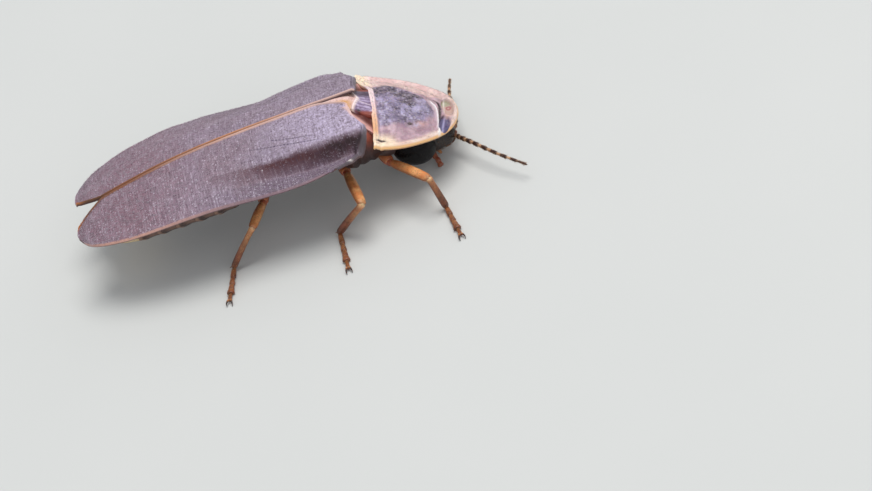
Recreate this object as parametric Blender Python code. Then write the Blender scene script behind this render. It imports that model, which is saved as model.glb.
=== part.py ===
"""Winged male firefly, a still model at life size.

The head points along +X, the left side is +Y, and the feet stand on the plane Z = 0. Every node is one
closed body. Sizes are in millimetres times MM, so that the model is in metres.
"""
import math

import bmesh
import bpy
import numpy as np
from mathutils import Vector

MM = 0.001
GAP = 0.28 * MM              # clearance kept between neighbouring pieces
UNION_SCALE = 1000.0         # unions are made this much larger

# Stance
SUTURE_HEIGHT = 3.3 * MM     # top of the wing cases over the floor, at their front
BODY_SHIFT_X = 2.46 * MM     # puts the middle of the whole outline over the origin

# Wing cases. Shares run from 0 at the shoulder to 1 at the tip, and from 0 at the seam to 1 at the outer rim
ELYTRON_LENGTH = 9.3 * MM
ELYTRON_WIDTH = 2.31 * MM
ELYTRON_THICKNESS = 0.5 * MM
STEEP_THICKENING = 1.25      # most that the upright thickness grows where the plate is steep
MARGIN_THINNING = 0.25       # share of the thickness lost at the outer rim
MARGIN_START = 0.75
SHOULDER_SHARE = 0.983       # width at the shoulder over the greatest width
FULL_WIDTH_AT = 0.5
APEX_WIDTH = 0.95 * MM
APEX_START = 0.60            # where the sides begin to close
APEX_POWER = 2.3
APEX_NOTCH = 0.30 * MM       # how far the tip is cut back at the seam
APEX_CORNER = 0.15 * MM      # and at its outer corner
SHOULDER_ROUND = 0.55 * MM
SHOULDER_ROUND_START = 0.34
SCUTELLAR_CUT = 1.0 * MM
SCUTELLAR_CUT_END = 0.4
SUTURE_STATIONS = (0.0, 0.20, 0.45, 0.63, 0.82, 1.0)
SUTURE_FALL = tuple(v * MM for v in (0.0, 0.012, 0.094, 0.249, 0.57, 0.973))
EDGE_STATIONS = (0.0, 0.25, 0.60, 1.0)
EDGE_DROP = tuple(v * MM for v in (0.751, 0.89, 0.554, 0.19))
CAMBER_POWER = 2.2
FOLD_FADE = (0.08, 0.50)     # shares of the length over which the shoulder fold dies out
FOLD_PLACE = (0.56, 0.84)    # shares of the width between which it falls
FOLD_SHARE = 0.72            # share of the whole drop that is in the fold
COSTAE = (0.3125, 0.5, 0.6875)
COSTA_HEIGHT = 0.06 * MM
COSTA_WIDTH = 0.036
COSTA_START = (0.03, 0.12)
COSTA_END = (0.84, 0.95)
BEAD_HEIGHT = 0.09 * MM
BEAD_PLACE = 0.0625
BEAD_WIDTH = 0.045
BEAD_START = (0.05, 0.14)
RIM_BEAD_HEIGHT = 0.054 * MM
RIM_BEAD_WIDTH = 0.04
ELYTRON_ROWS = 27
ELYTRON_COLUMNS = 17
ROW_CROWDING = 0.55          # how strongly the rows gather at both ends

# Front of the body: the shield and what it covers share one tilted frame
SHIELD_BASE_X = 0.30 * MM
SHIELD_BASE_DROP = 0.548 * MM
SHIELD_TURN = tuple(math.radians(v) for v in (0.8, 28.6, 1.7))
SHIELD_LENGTH = 2.77 * MM
SHIELD_HALF_WIDTH = 1.93 * MM
SHIELD_CAMBER = 0.416 * MM
SHIELD_POWER = 2.23
SHIELD_THICKNESS = 0.36 * MM
SHIELD_NOSE_SHARE = 0.97     # where the outline changes from its sides to its nose
NOSE_POWER = 8.0
RIM_HEIGHT = 0.11 * MM
RIM_WIDTH = 0.15 * MM
BASE_RIM_X = 0.10 * MM
DISC_EDGE_Y = (0.94 * MM, 1.44 * MM)
DISC_START_X = (0.2 * MM, 0.6 * MM)
DISC_END_X = (1.8 * MM, 2.1 * MM)
DISC_RISE = 0.13 * MM
FURROW_DEPTH = 0.045 * MM    # along the middle of the disc
FURROW_HALF_WIDTH = 0.16 * MM
FURROW_X = 1.1 * MM
FURROW_HALF_LENGTH = 0.8 * MM
FRONT_RIDGE_X = 2.08 * MM
FRONT_RIDGE_SWEEP = 100.0    # how it bends back, per metre
FRONT_RIDGE_HEIGHT = 0.10 * MM
FRONT_RIDGE_WIDTH = 0.10 * MM
FRONT_RIDGE_END_Y = (0.9 * MM, 1.3 * MM)
WINDOW_X = 2.32 * MM
WINDOW_HALF_LENGTH = 0.17 * MM
WINDOW_Y = 0.56 * MM
WINDOW_HALF_WIDTH = 0.42 * MM
WINDOW_DEPTH = 0.12 * MM
SHIELD_ROWS = 23
SHIELD_COLUMNS = 21

# Stations of the lofted bodies: x, half width, top z, bottom z, forward lean of the ring
PROTHORAX_STATIONS = (
    (-0.12, 0.66, -0.72, -1.50, 0.0),
    (0.20, 0.78, -0.68, -1.60, 0.0),
    (0.65, 0.80, -0.68, -1.68, 0.0),
    (1.00, 0.66, -0.74, -1.62, 0.0),
)
HEAD_STATIONS = (
    (1.27, 0.50, -0.80, -1.60, 0.0),
    (1.50, 0.60, -0.70, -1.76, 0.0),
    (1.95, 0.60, -0.68, -1.74, 0.0),
    (2.25, 0.52, -0.70, -1.52, 0.0),
    (2.45, 0.34, -0.80, -1.28, 0.0),
)
THORAX_STATIONS = (
    (-0.80, 0.90, 2.25, 1.30, 0.545),
    (-1.10, 1.15, 2.42, 1.16, 0.40),
    (-1.70, 1.35, 2.45, 1.08, 0.15),
    (-2.60, 1.40, 2.45, 1.04, 0.0),
    (-3.50, 1.32, 2.42, 1.08, 0.0),
    (-4.15, 1.24, 2.36, 1.16, 0.0),
)
LOFT_SIDES = 20
MIDDLE_TOLERANCE = 0.01      # what counts as level with a loft's middle
BACK_POWER = 2.5             # roundness of a loft's upper half, 2 is an ellipse
BREAST_POWER = 1.35          # lower half of the chest, drawn in towards the hips
BELLY_POWER = 2.2

# Abdomen
ABDOMEN_START_X = -4.43 * MM
ABDOMEN_END_X = -7.35 * MM
ABDOMEN_SEGMENTS = 5
ABDOMEN_HALF_WIDTH = 1.58 * MM
ABDOMEN_END_HALF_WIDTH = 1.28 * MM
BELLY_HEIGHT = 1.12 * MM
BELLY_END_HEIGHT = 0.98 * MM
ABDOMEN_TAPER_POWER = 1.6
ABDOMEN_CLEARANCE = 0.32 * MM   # under the wing cases
SEGMENT_TUCK = 0.92
SEGMENT_FLARE = 1.04
SEGMENT_WAIST_AT = 0.55      # share of a segment's length where it has its plain size
SEGMENT_POINT = 0.16 * MM
SEGMENT_POINT_POWER = 4.0
TIP_END_X = -8.72 * MM
TIP_SEGMENTS = 2
TIP_POWER = 2.2
TIP_LEAST_SHARE = 0.06
TIP_RISE = 0.25 * MM
TIP_FLATTENING = 0.25

# Scutellum
SCUTELLUM_FRONT_X = -0.06 * MM
SCUTELLUM_LENGTH = 0.55 * MM
SCUTELLUM_HALF_WIDTH = 0.39 * MM
SCUTELLUM_THICKNESS = 0.46 * MM
SCUTELLUM_TAPER = 0.88
SCUTELLUM_TAPER_POWER = 0.85
SCUTELLUM_FRONT_DROP = 0.26 * MM
SCUTELLUM_DROP_POWER = 1.5
SCUTELLUM_ARCH = 0.10 * MM
SCUTELLUM_KEEL = 0.07 * MM
SCUTELLUM_KEEL_WIDTH = 0.3
SCUTELLUM_STEPS = 7

# Head parts
EYE_CENTRE = (1.76 * MM, 0.96 * MM, -1.22 * MM)
EYE_RADIUS = 0.48 * MM
EYE_BULGE = 0.44 * MM
EYE_SIDES = 16
EYE_RINGS = (0.0, 20.0, 40.0, 60.0, 78.0)   # degrees round the dome
PALP_RADII = (0.20 * MM, 0.20 * MM, 0.20 * MM, 0.11 * MM)
PALP_ROOT = (2.12 * MM, 0.22 * MM, -1.42 * MM)
PALP_TIP = (2.46 * MM, 0.74 * MM, -1.56 * MM)

# Feelers: points of each feeler's middle line, in the body's frame
FEELER_RADIUS = 0.25 * MM
FEELER_TIP_RADIUS = 0.12 * MM
FEELER_SEGMENTS = 11
FEELER_SIDES = 8
FEELER_RINGS = 3             # rings in each segment
FEELER_NECK = 0.03 * MM      # how much narrower a segment's base is
FEELER_TAPER = (0.75, 1.15)
FEELER_ROUTES = {
    "right": ((2.46, -0.24, 0.58), (2.88, -0.92, 0.66), (3.50, -1.76, 0.62), (4.20, -2.52, 0.52)),
    "left": ((2.50, 0.32, 0.58), (2.82, 0.84, 0.72), (2.76, 1.60, 0.80), (2.50, 2.72, 0.50)),
}

# Legs: where each leg leaves the body, its root, knee, heel and toe, right side, in the body's frame
LEG_STANCE = {
    "front": ((-0.02, -1.02, 1.00), (0.22, -1.26, 0.96), (1.32, -2.60, 1.28), (1.50, -2.66), (1.69, -4.00)),
    "mid": ((-1.14, -0.92, 0.98), (-1.06, -1.22, 0.96), (-0.77, -2.89, 1.40), (-1.80, -2.24), (-1.77, -3.82)),
    "hind": ((-3.72, -1.06, 0.92), (-3.78, -1.34, 0.94), (-4.14, -2.24, 1.38), (-5.17, -2.20), (-5.44, -3.50)),
}
# The left front leg is drawn in under the body; the others nearly mirror the right ones
LEFT_STANCE = {
    "front": ((-0.04, 1.02, 1.00), (0.16, 1.28, 0.96), (0.96, 2.30, 1.14), (1.30, 2.12), (1.18, 3.16)),
    "mid": ((-1.14, 0.92, 0.98), (-1.06, 1.22, 0.96), (-0.80, 2.84, 1.38), (-1.84, 2.40), (-1.70, 4.10)),
    "hind": ((-3.72, 1.06, 0.92), (-3.78, 1.34, 0.94), (-4.12, 2.30, 1.38), (-5.10, 2.34), (-5.42, 3.66)),
}
HEEL_HEIGHT = 0.28 * MM
TARSUS_HEIGHT = 0.14 * MM    # middle line of the foot; its underside is cut flat at the floor
LEG_SIDES = 8
KNEE_OVERRUN = 0.12 * MM     # how far the thigh runs past the knee
SHIN_OVERRUN = 0.10 * MM     # how far the shin starts before it
HEEL_OVERRUN = 0.14 * MM     # how far the foot starts behind the heel
COXA_RADII = (0.28 * MM, 0.30 * MM, 0.26 * MM)
FEMUR_RADII = (0.25 * MM, 0.26 * MM, 0.27 * MM, 0.25 * MM)
TIBIA_RADII = (0.26 * MM, 0.25 * MM, 0.25 * MM)
TARSUS_RADIUS = 0.26 * MM
TARSUS_WAIST = 0.21 * MM
TARSUS_TIP_RADIUS = 0.17 * MM
TARSUS_SEGMENTS = 5
TARSUS_RINGS = 3             # rings in each segment
CLAW_LENGTH = 0.34 * MM
CLAW_SPREAD = math.radians(24.0)
CLAW_SETTING = 0.10 * MM     # how far each claw's root lies to its side of the toe
CLAW_ROOT_SHARE = 0.4        # share of the claw's length that is sunk into the toe
CLAW_ROOT_RISE = 0.02 * MM
CLAW_TIP_FALL = 0.04 * MM
CLAW_RADIUS = 0.08 * MM
CLAW_TIP_RADIUS = 0.03 * MM
CLAW_SIDES = 5

SHARP_ANGLE = math.radians(40.0)

# Finishes: colour, roughness
ELYTRON_FINISH = ((0.25, 0.19, 0.24), 0.62)
SHIELD_FINISH = ((0.62, 0.42, 0.36), 0.5)
SCUTELLUM_FINISH = ((0.35, 0.26, 0.31), 0.55)
THORAX_FINISH = ((0.06, 0.04, 0.035), 0.5)
ABDOMEN_FINISH = ((0.07, 0.045, 0.04), 0.55)
LIGHT_ORGAN_FINISH = ((0.72, 0.56, 0.33), 0.5)
HEAD_FINISH = ((0.03, 0.022, 0.02), 0.35)
EYE_FINISH = ((0.012, 0.01, 0.011), 0.12)
FEELER_FINISH = ((0.13, 0.07, 0.05), 0.5)
LEG_FINISH = ((0.38, 0.17, 0.07), 0.45)


def smooth_step(value, low, high):
    """0 below low, 1 above high, and an S-shaped blend between them."""
    share = np.clip((value - low) / (high - low), 0.0, 1.0)
    return share * share * (3.0 - 2.0 * share)


def bump(value, centre, width):
    """A rounded ridge of height 1 at centre."""
    return np.exp(-(((value - centre) / width) ** 2))


def spline_points(points, count):
    """Catmull-Rom curve through the points, sampled evenly in its parameter."""
    knots = np.array(points, dtype=float)
    padded = np.vstack([2 * knots[0] - knots[1], knots, 2 * knots[-1] - knots[-2]])
    place = np.linspace(0.0, len(knots) - 1.0, count)
    index = np.minimum(place.astype(int), len(knots) - 2)
    t = (place - index)[:, None]
    p0, p1, p2, p3 = (padded[index + k] for k in range(4))
    return 0.5 * (2 * p1 + (p2 - p0) * t + (2 * p0 - 5 * p1 + 4 * p2 - p3) * t**2
                  + (3 * p1 - p0 - 3 * p2 + p3) * t**3)


def new_object(name, verts, faces):
    """A mesh object with its faces turned outwards."""
    mesh = bpy.data.meshes.new(name)
    mesh.from_pydata([tuple(v) for v in verts], [], [tuple(f) for f in faces])
    work = bmesh.new()
    work.from_mesh(mesh)
    bmesh.ops.recalc_face_normals(work, faces=work.faces)
    work.to_mesh(mesh)
    work.free()
    obj = bpy.data.objects.new(name, mesh)
    bpy.context.scene.collection.objects.link(obj)
    return obj


def ring_object(name, rings):
    """Closed body from a stack of rings; a fan to its middle closes each end."""
    count, sides = rings.shape[:2]
    verts = np.vstack([rings.reshape(-1, 3), rings[0].mean(axis=0), rings[-1].mean(axis=0)])
    first_middle = count * sides
    faces = []
    for row in range(count - 1):
        for k in range(sides):
            after = (k + 1) % sides
            low = row * sides
            high = low + sides
            faces.append((low + k, low + after, high + after, high + k))
    for k in range(sides):
        after = (k + 1) % sides
        faces.append((first_middle, after, k))
        faces.append((first_middle + 1, first_middle - sides + k, first_middle - sides + after))
    return new_object(name, verts, faces)


def shell_object(name, top, bottom):
    """Closed plate between two grids of points, both split into triangles in the same way."""
    rows, columns = top.shape[:2]
    verts = np.vstack([top.reshape(-1, 3), bottom.reshape(-1, 3)])
    under = rows * columns
    faces = []
    for i in range(rows - 1):
        for j in range(columns - 1):
            a = i * columns + j
            b, c, d = a + 1, a + columns + 1, a + columns
            for triangle in ((a, b, c), (a, c, d)):
                faces.append(triangle)
                faces.append(tuple(under + v for v in reversed(triangle)))
    edge = list(range(columns))
    edge += [i * columns + columns - 1 for i in range(1, rows)]
    edge += [(rows - 1) * columns + j for j in range(columns - 2, -1, -1)]
    edge += [i * columns for i in range(rows - 2, 0, -1)]
    for here, after in zip(edge, edge[1:] + edge[:1]):
        faces.append((here, under + here, under + after))
        faces.append((here, under + after, after))
    return new_object(name, verts, faces)


def tube_rings(points, radii, sides, side_hint):
    """Rings of the given radii across a middle line; side_hint sets where the first corner points."""
    line = np.array(points, dtype=float)
    tangent = np.gradient(line, axis=0)
    tangent /= np.linalg.norm(tangent, axis=1)[:, None]
    hint = np.array(side_hint, dtype=float)
    across = hint - (tangent @ hint)[:, None] * tangent
    across /= np.linalg.norm(across, axis=1)[:, None]
    over = np.cross(tangent, across)
    angle = 2.0 * np.pi * np.arange(sides) / sides
    radius = np.asarray(radii, dtype=float)[:, None, None]
    circle = (np.cos(angle)[None, :, None] * across[:, None, :]
              + np.sin(angle)[None, :, None] * over[:, None, :])
    return line[:, None, :] + radius * circle


def loft_rings(stations, lower_power, sides=LOFT_SIDES):
    """Rings of a rounded box across X. A station is x, half width, top, bottom and lean."""
    angle = 2.0 * np.pi * np.arange(sides) / sides
    power = np.where(np.sin(angle) < -MIDDLE_TOLERANCE, lower_power, BACK_POWER)
    across = np.sign(np.cos(angle)) * np.abs(np.cos(angle)) ** (2.0 / power)
    upward = np.sign(np.sin(angle)) * np.abs(np.sin(angle)) ** (2.0 / power)
    rings = []
    for x, half_width, top, bottom, lean in stations:
        middle = (top + bottom) / 2.0
        half_height = (top - bottom) / 2.0
        rings.append(np.column_stack([x + lean * half_height * upward,
                                      half_width * across,
                                      middle + half_height * upward]))
    return np.array(rings)


def in_millimetres(stations):
    """Stations in metres; the lean is a plain ratio and keeps its value."""
    return [tuple(v * MM for v in station[:4]) + (station[4],) for station in stations]


def largest_closed_surface(mesh):
    """Deletes every loose shell of the mesh but the one with most faces."""
    work = bmesh.new()
    work.from_mesh(mesh)
    left = set(work.faces)
    shells = []
    while left:
        stack = [left.pop()]
        shell = list(stack)
        while stack:
            for edge in stack.pop().edges:
                for face in edge.link_faces:
                    if face in left:
                        left.remove(face)
                        stack.append(face)
                        shell.append(face)
        shells.append(shell)
    shells.sort(key=len)
    spare = [vert for shell in shells[:-1] for face in shell for vert in face.verts]
    bmesh.ops.delete(work, geom=list(set(spare)), context="VERTS")
    work.to_mesh(mesh)
    work.free()


def scale_mesh(mesh, factor):
    """Scales the mesh about its frame's origin."""
    for vert in mesh.vertices:
        vert.co *= factor


def fuse(base, others):
    """Joins the other bodies to the base with one Boolean union and removes them.

    The union is made at UNION_SCALE times the size, because the solver's distances suit larger things.
    """
    group = bpy.data.collections.new(base.name + "_pieces")
    for other in others:
        group.objects.link(other)
    for obj in [base] + others:
        scale_mesh(obj.data, UNION_SCALE)
    union = base.modifiers.new("Union", "BOOLEAN")
    union.operation = "UNION"
    union.operand_type = "COLLECTION"
    union.collection = group
    union.solver = "EXACT"
    evaluated = base.evaluated_get(bpy.context.evaluated_depsgraph_get())
    fused = bpy.data.meshes.new_from_object(evaluated)
    base.modifiers.clear()
    plain = base.data
    base.data = fused
    bpy.data.meshes.remove(plain)
    for other in others:
        bpy.data.objects.remove(other, do_unlink=True)
    bpy.data.collections.remove(group)
    largest_closed_surface(fused)
    scale_mesh(fused, 1.0 / UNION_SCALE)
    fused.name = base.name
    return base


def place(obj, origin, parent, finish):
    """Moves the object's origin to a point of its parent's frame and gives it its finish."""
    shift = Vector(origin)
    for vert in obj.data.vertices:
        vert.co -= shift
    obj.location = shift
    obj.parent = parent
    colour, roughness = finish
    material = bpy.data.materials.new(obj.name)
    material.use_nodes = True
    shader = material.node_tree.nodes["Principled BSDF"]
    shader.inputs["Base Color"].default_value = (*colour, 1.0)
    shader.inputs["Roughness"].default_value = roughness
    shader.inputs["Metallic"].default_value = 0.0
    obj.data.materials.clear()
    obj.data.materials.append(material)
    obj.data.shade_smooth()
    obj.data.set_sharp_from_angle(angle=SHARP_ANGLE)
    return obj


def frame_empty(name, location, rotation=(0.0, 0.0, 0.0), parent=None):
    """An empty that carries the pieces of one part of the body."""
    empty = bpy.data.objects.new(name, None)
    empty.location = location
    empty.rotation_euler = rotation
    empty.parent = parent
    bpy.context.scene.collection.objects.link(empty)
    return empty


def elytron_width(s):
    """Width of one wing case at share s of its length."""
    swell = np.sin(np.clip(s / FULL_WIDTH_AT, 0.0, 1.0) * np.pi / 2.0)
    full = ELYTRON_WIDTH * (SHOULDER_SHARE + (1.0 - SHOULDER_SHARE) * swell)
    closing = np.clip((s - APEX_START) / (1.0 - APEX_START), 0.0, 1.0)
    return APEX_WIDTH + (full - APEX_WIDTH) * np.sqrt(np.maximum(1.0 - closing**APEX_POWER, 0.0))


def elytron_height(s, t):
    """Height of a wing case over the floor at shares s of its length and t of its width.

    The camber falls from the seam to the outer edge. Near the shoulder most of the fall is in one steep
    fold, outside which the margin lies flatter.
    """
    suture = SUTURE_HEIGHT - np.interp(s, SUTURE_STATIONS, SUTURE_FALL)
    drop = np.interp(s, EDGE_STATIONS, EDGE_DROP)
    fold = 1.0 - smooth_step(s, *FOLD_FADE)
    folded = (1.0 - FOLD_SHARE) * t**2 + FOLD_SHARE * smooth_step(t, *FOLD_PLACE)
    return suture - drop * ((1.0 - fold) * t**CAMBER_POWER + fold * folded)


def elytron_relief(s, t):
    """Raised lines of a wing case: bead along the seam, veins and the outer rim."""
    relief = BEAD_HEIGHT * bump(t, BEAD_PLACE, BEAD_WIDTH) * smooth_step(s, *BEAD_START)
    relief += RIM_BEAD_HEIGHT * bump(t, 1.0, RIM_BEAD_WIDTH)
    length = smooth_step(s, *COSTA_START) * (1.0 - smooth_step(s, *COSTA_END))
    for line in COSTAE:
        relief += COSTA_HEIGHT * bump(t, line, COSTA_WIDTH) * length
    return relief


def elytron_outline(s, t):
    """Place along the body: the ends are cut back beside the scutellum, at the shoulder and at the tip."""
    scutellar = SCUTELLAR_CUT * np.clip(1.0 - t / SCUTELLAR_CUT_END, 0.0, 1.0) ** 2
    past_start = (t - SHOULDER_ROUND_START) / (1.0 - SHOULDER_ROUND_START)
    shoulder = SHOULDER_ROUND * np.clip(past_start, 0.0, 1.0) ** 2
    notch = APEX_NOTCH * np.clip(1.0 - 2.0 * t, 0.0, 1.0) ** 2
    corner = APEX_CORNER * np.clip(2.5 * t - 1.5, 0.0, 1.0) ** 2
    return -ELYTRON_LENGTH * s - (scutellar + shoulder) * (1.0 - s) ** 4 + (notch + corner) * s**10


def elytron(side_name, side, body):
    """Wing case: a curved plate with the veins raised in its surface."""
    even = np.linspace(0.0, 1.0, ELYTRON_ROWS)
    rows = (1.0 - ROW_CROWDING) * even + ROW_CROWDING * 0.5 * (1.0 - np.cos(np.pi * even))
    s, t = np.meshgrid(rows, np.linspace(0.0, 1.0, ELYTRON_COLUMNS), indexing="ij")
    x = elytron_outline(s, t)
    y = side * (GAP / 2.0 + elytron_width(s) * t)
    z = elytron_height(s, t)
    top = np.stack([x, y, z + elytron_relief(s, t)], axis=-1)
    slope = np.gradient(z, axis=1) / np.abs(np.gradient(y, axis=1))
    thickness = ELYTRON_THICKNESS * np.clip(np.sqrt(1.0 + slope**2), 1.0, STEEP_THICKENING)
    thickness = thickness * (1.0 - MARGIN_THINNING * smooth_step(t, MARGIN_START, 1.0))
    bottom = np.stack([x, y, z - thickness], axis=-1)
    obj = shell_object("elytron_" + side_name, top, bottom)
    return place(obj, (0.0, side * GAP / 2.0, SUTURE_HEIGHT), body, ELYTRON_FINISH)


def shield_outline(x):
    """Half width of the shield at distance x from its base."""
    return SHIELD_HALF_WIDTH * np.sqrt(np.maximum(1.0 - (x / SHIELD_LENGTH) ** SHIELD_POWER, 0.0))


def shield_relief(x, y, edge_distance):
    """Raised rims, disc, front ridge and the two sunk windows of the shield."""
    rim = RIM_HEIGHT * np.maximum(bump(edge_distance, 0.0, RIM_WIDTH), bump(x, BASE_RIM_X, RIM_WIDTH))
    disc = DISC_RISE * (1.0 - smooth_step(np.abs(y), *DISC_EDGE_Y))
    disc = disc * smooth_step(x, *DISC_START_X) * (1.0 - smooth_step(x, *DISC_END_X))
    furrow = FURROW_DEPTH * bump(y, 0.0, FURROW_HALF_WIDTH) * bump(x, FURROW_X, FURROW_HALF_LENGTH)
    ridge_x = FRONT_RIDGE_X - FRONT_RIDGE_SWEEP * y**2
    ridge = FRONT_RIDGE_HEIGHT * bump(x, ridge_x, FRONT_RIDGE_WIDTH)
    ridge = ridge * (1.0 - smooth_step(np.abs(y), *FRONT_RIDGE_END_Y))
    window = bump(x, WINDOW_X, WINDOW_HALF_LENGTH) * bump(np.abs(y), WINDOW_Y, WINDOW_HALF_WIDTH) ** 2
    return rim + disc - furrow + ridge - WINDOW_DEPTH * window


def pronotum(front):
    """Neck shield: a D-shaped plate that covers the head. Its base edge stands upright."""
    even = np.linspace(0.0, 1.0, SHIELD_ROWS)
    u, v = np.meshgrid(even, np.linspace(-1.0, 1.0, SHIELD_COLUMNS), indexing="ij")
    x_side = SHIELD_NOSE_SHARE * SHIELD_LENGTH * u
    half_width = shield_outline(x_side)
    x = x_side + (1.0 - SHIELD_NOSE_SHARE) * SHIELD_LENGTH * (1.0 - v**2) * u**NOSE_POWER
    y = half_width * v
    camber = -SHIELD_CAMBER * (y / SHIELD_HALF_WIDTH) ** 2
    edge_distance = np.minimum((1.0 - np.abs(v)) * half_width, SHIELD_LENGTH - x)
    top = np.stack([x, y, camber + shield_relief(x, y, edge_distance)], axis=-1)
    shift = SHIELD_THICKNESS * math.tan(SHIELD_TURN[1]) * (1.0 - smooth_step(x, 0.0, SHIELD_LENGTH / 3.0))
    bottom = np.stack([x + shift, y, camber - SHIELD_THICKNESS], axis=-1)
    return place(shell_object("pronotum", top, bottom), (0.0, 0.0, 0.0), front, SHIELD_FINISH)


def scutellum(body):
    """Small keeled plate in the cut between the wing cases' front corners."""
    even = np.linspace(0.0, 1.0, SCUTELLUM_STEPS)
    u, v = np.meshgrid(even, np.linspace(-1.0, 1.0, SCUTELLUM_STEPS), indexing="ij")
    half_width = SCUTELLUM_HALF_WIDTH * (1.0 - SCUTELLUM_TAPER * u**SCUTELLUM_TAPER_POWER)
    x = SCUTELLUM_FRONT_X - SCUTELLUM_LENGTH * u
    y = half_width * v
    fall = SCUTELLUM_FRONT_DROP * (1.0 - u) ** SCUTELLUM_DROP_POWER + SCUTELLUM_ARCH * v**2
    z = SUTURE_HEIGHT - fall + SCUTELLUM_KEEL * bump(v, 0.0, SCUTELLUM_KEEL_WIDTH)
    top = np.stack([x, y, z], axis=-1)
    bottom = np.stack([x, y, z - SCUTELLUM_THICKNESS], axis=-1)
    obj = shell_object("scutellum", top, bottom)
    return place(obj, (0.0, 0.0, SUTURE_HEIGHT), body, SCUTELLUM_FINISH)


def prothorax(front):
    """Block under the shield that carries the head and the front legs."""
    obj = ring_object("prothorax", loft_rings(in_millimetres(PROTHORAX_STATIONS), BREAST_POWER))
    return place(obj, (0.0, 0.0, PROTHORAX_STATIONS[0][2] * MM), front, THORAX_FINISH)


def thorax(body):
    """Middle and hind thorax, under the wing cases."""
    obj = ring_object("thorax", loft_rings(in_millimetres(THORAX_STATIONS), BREAST_POWER))
    return place(obj, (THORAX_STATIONS[0][0] * MM, 0.0, THORAX_STATIONS[0][2] * MM), body, THORAX_FINISH)


def belly_station(x, scale):
    """Loft station of the abdomen at x: its top keeps clear of the wing cases."""
    share = (ABDOMEN_START_X - x) / (ABDOMEN_START_X - ABDOMEN_END_X)
    narrowing = (ABDOMEN_HALF_WIDTH - ABDOMEN_END_HALF_WIDTH) * max(share, 0.0) ** ABDOMEN_TAPER_POWER
    past_end = max(ABDOMEN_END_X - x, 0.0) / (ABDOMEN_END_X - TIP_END_X)
    closing = math.sqrt(max(1.0 - past_end**TIP_POWER, TIP_LEAST_SHARE))
    half_width = (ABDOMEN_HALF_WIDTH - narrowing) * closing
    top = elytron_height(-x / ELYTRON_LENGTH, 0.0) - ELYTRON_THICKNESS - ABDOMEN_CLEARANCE
    bottom = BELLY_HEIGHT + (BELLY_END_HEIGHT - BELLY_HEIGHT) * share + TIP_RISE * past_end**2
    middle = (top + bottom) / 2.0
    half_height = (top - bottom) / 2.0 * (1.0 - TIP_FLATTENING * past_end**2)
    return (x, half_width * scale, middle + half_height * min(scale, 1.0),
            middle - half_height * scale, 0.0)


def segment_rings(start, end, count):
    """Rings of overlapping body segments, each with a flared hind edge that ends in a point at its sides."""
    length = (end - start) / count
    steps = ((0.0, SEGMENT_TUCK), (SEGMENT_WAIST_AT, 1.0), (1.0, SEGMENT_FLARE))
    rings = []
    for k in range(count):
        front_x = start + k * length
        for along, scale in steps:
            ring = loft_rings([belly_station(front_x + along * length, scale)], BELLY_POWER)[0]
            sideways = np.abs(ring[:, 1]) / np.abs(ring[:, 1]).max()
            ring[:, 0] -= along**2 * SEGMENT_POINT * sideways**SEGMENT_POINT_POWER
            rings.append(ring)
    return np.array(rings)


def abdomen(body):
    """Five dark segments that overlap towards the rear."""
    obj = ring_object("abdomen", segment_rings(ABDOMEN_START_X, ABDOMEN_END_X, ABDOMEN_SEGMENTS))
    return place(obj, (ABDOMEN_START_X, 0.0, BELLY_HEIGHT), body, ABDOMEN_FINISH)


def abdomen_tip(body):
    """Last two segments, pale where the light organ lies."""
    start = ABDOMEN_END_X - SEGMENT_POINT - GAP
    obj = ring_object("abdomen_tip", segment_rings(start, TIP_END_X, TIP_SEGMENTS))
    return place(obj, (start, 0.0, BELLY_END_HEIGHT), body, LIGHT_ORGAN_FINISH)


def head(front):
    """Head under the shield, with a palp on each side of the mouth."""
    obj = ring_object("head", loft_rings(in_millimetres(HEAD_STATIONS), BELLY_POWER))
    palps = []
    for side in (-1.0, 1.0):
        root = np.array(PALP_ROOT) * (1.0, side, 1.0)
        tip = np.array(PALP_TIP) * (1.0, side, 1.0)
        points = straight(root, tip, len(PALP_RADII))
        palps.append(ring_object("palp", tube_rings(points, PALP_RADII, LEG_SIDES, (0.0, 0.0, 1.0))))
    fuse(obj, palps)
    return place(obj, (HEAD_STATIONS[0][0] * MM, 0.0, HEAD_STATIONS[0][2] * MM), front, HEAD_FINISH)


def eye(side_name, side, front):
    """Large domed eye with a flat inner face against the head."""
    centre = np.array(EYE_CENTRE) * (1.0, side, 1.0)
    angle = 2.0 * np.pi * np.arange(EYE_SIDES) / EYE_SIDES
    circle = EYE_RADIUS * np.column_stack([np.cos(angle), np.zeros(EYE_SIDES), np.sin(angle)])
    rings = []
    for rise in np.radians(EYE_RINGS):
        rings.append(centre + circle * math.cos(rise) + (0.0, side * EYE_BULGE * math.sin(rise), 0.0))
    return place(ring_object("eye_" + side_name, np.array(rings)), centre, front, EYE_FINISH)


def antenna(side_name, body):
    """Feeler of eleven conical segments, each narrow at its base."""
    count = FEELER_SEGMENTS * FEELER_RINGS
    points = spline_points(np.array(FEELER_ROUTES[side_name]) * MM, count)
    share = np.arange(count) / (count - 1.0)
    within = (np.arange(count) % FEELER_RINGS) / (FEELER_RINGS - 1.0)
    radii = (FEELER_RADIUS - FEELER_NECK * (1.0 - within)) * (1.0 - smooth_step(share, *FEELER_TAPER))
    radii = np.maximum(radii, FEELER_TIP_RADIUS)
    obj = ring_object("antenna_" + side_name, tube_rings(points, radii, FEELER_SIDES, (0.0, 0.0, 1.0)))
    return place(obj, points[0], body, FEELER_FINISH)


def straight(start, end, count):
    """Points spaced evenly from start to end."""
    return start + np.linspace(0.0, 1.0, count)[:, None] * (end - start)


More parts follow.
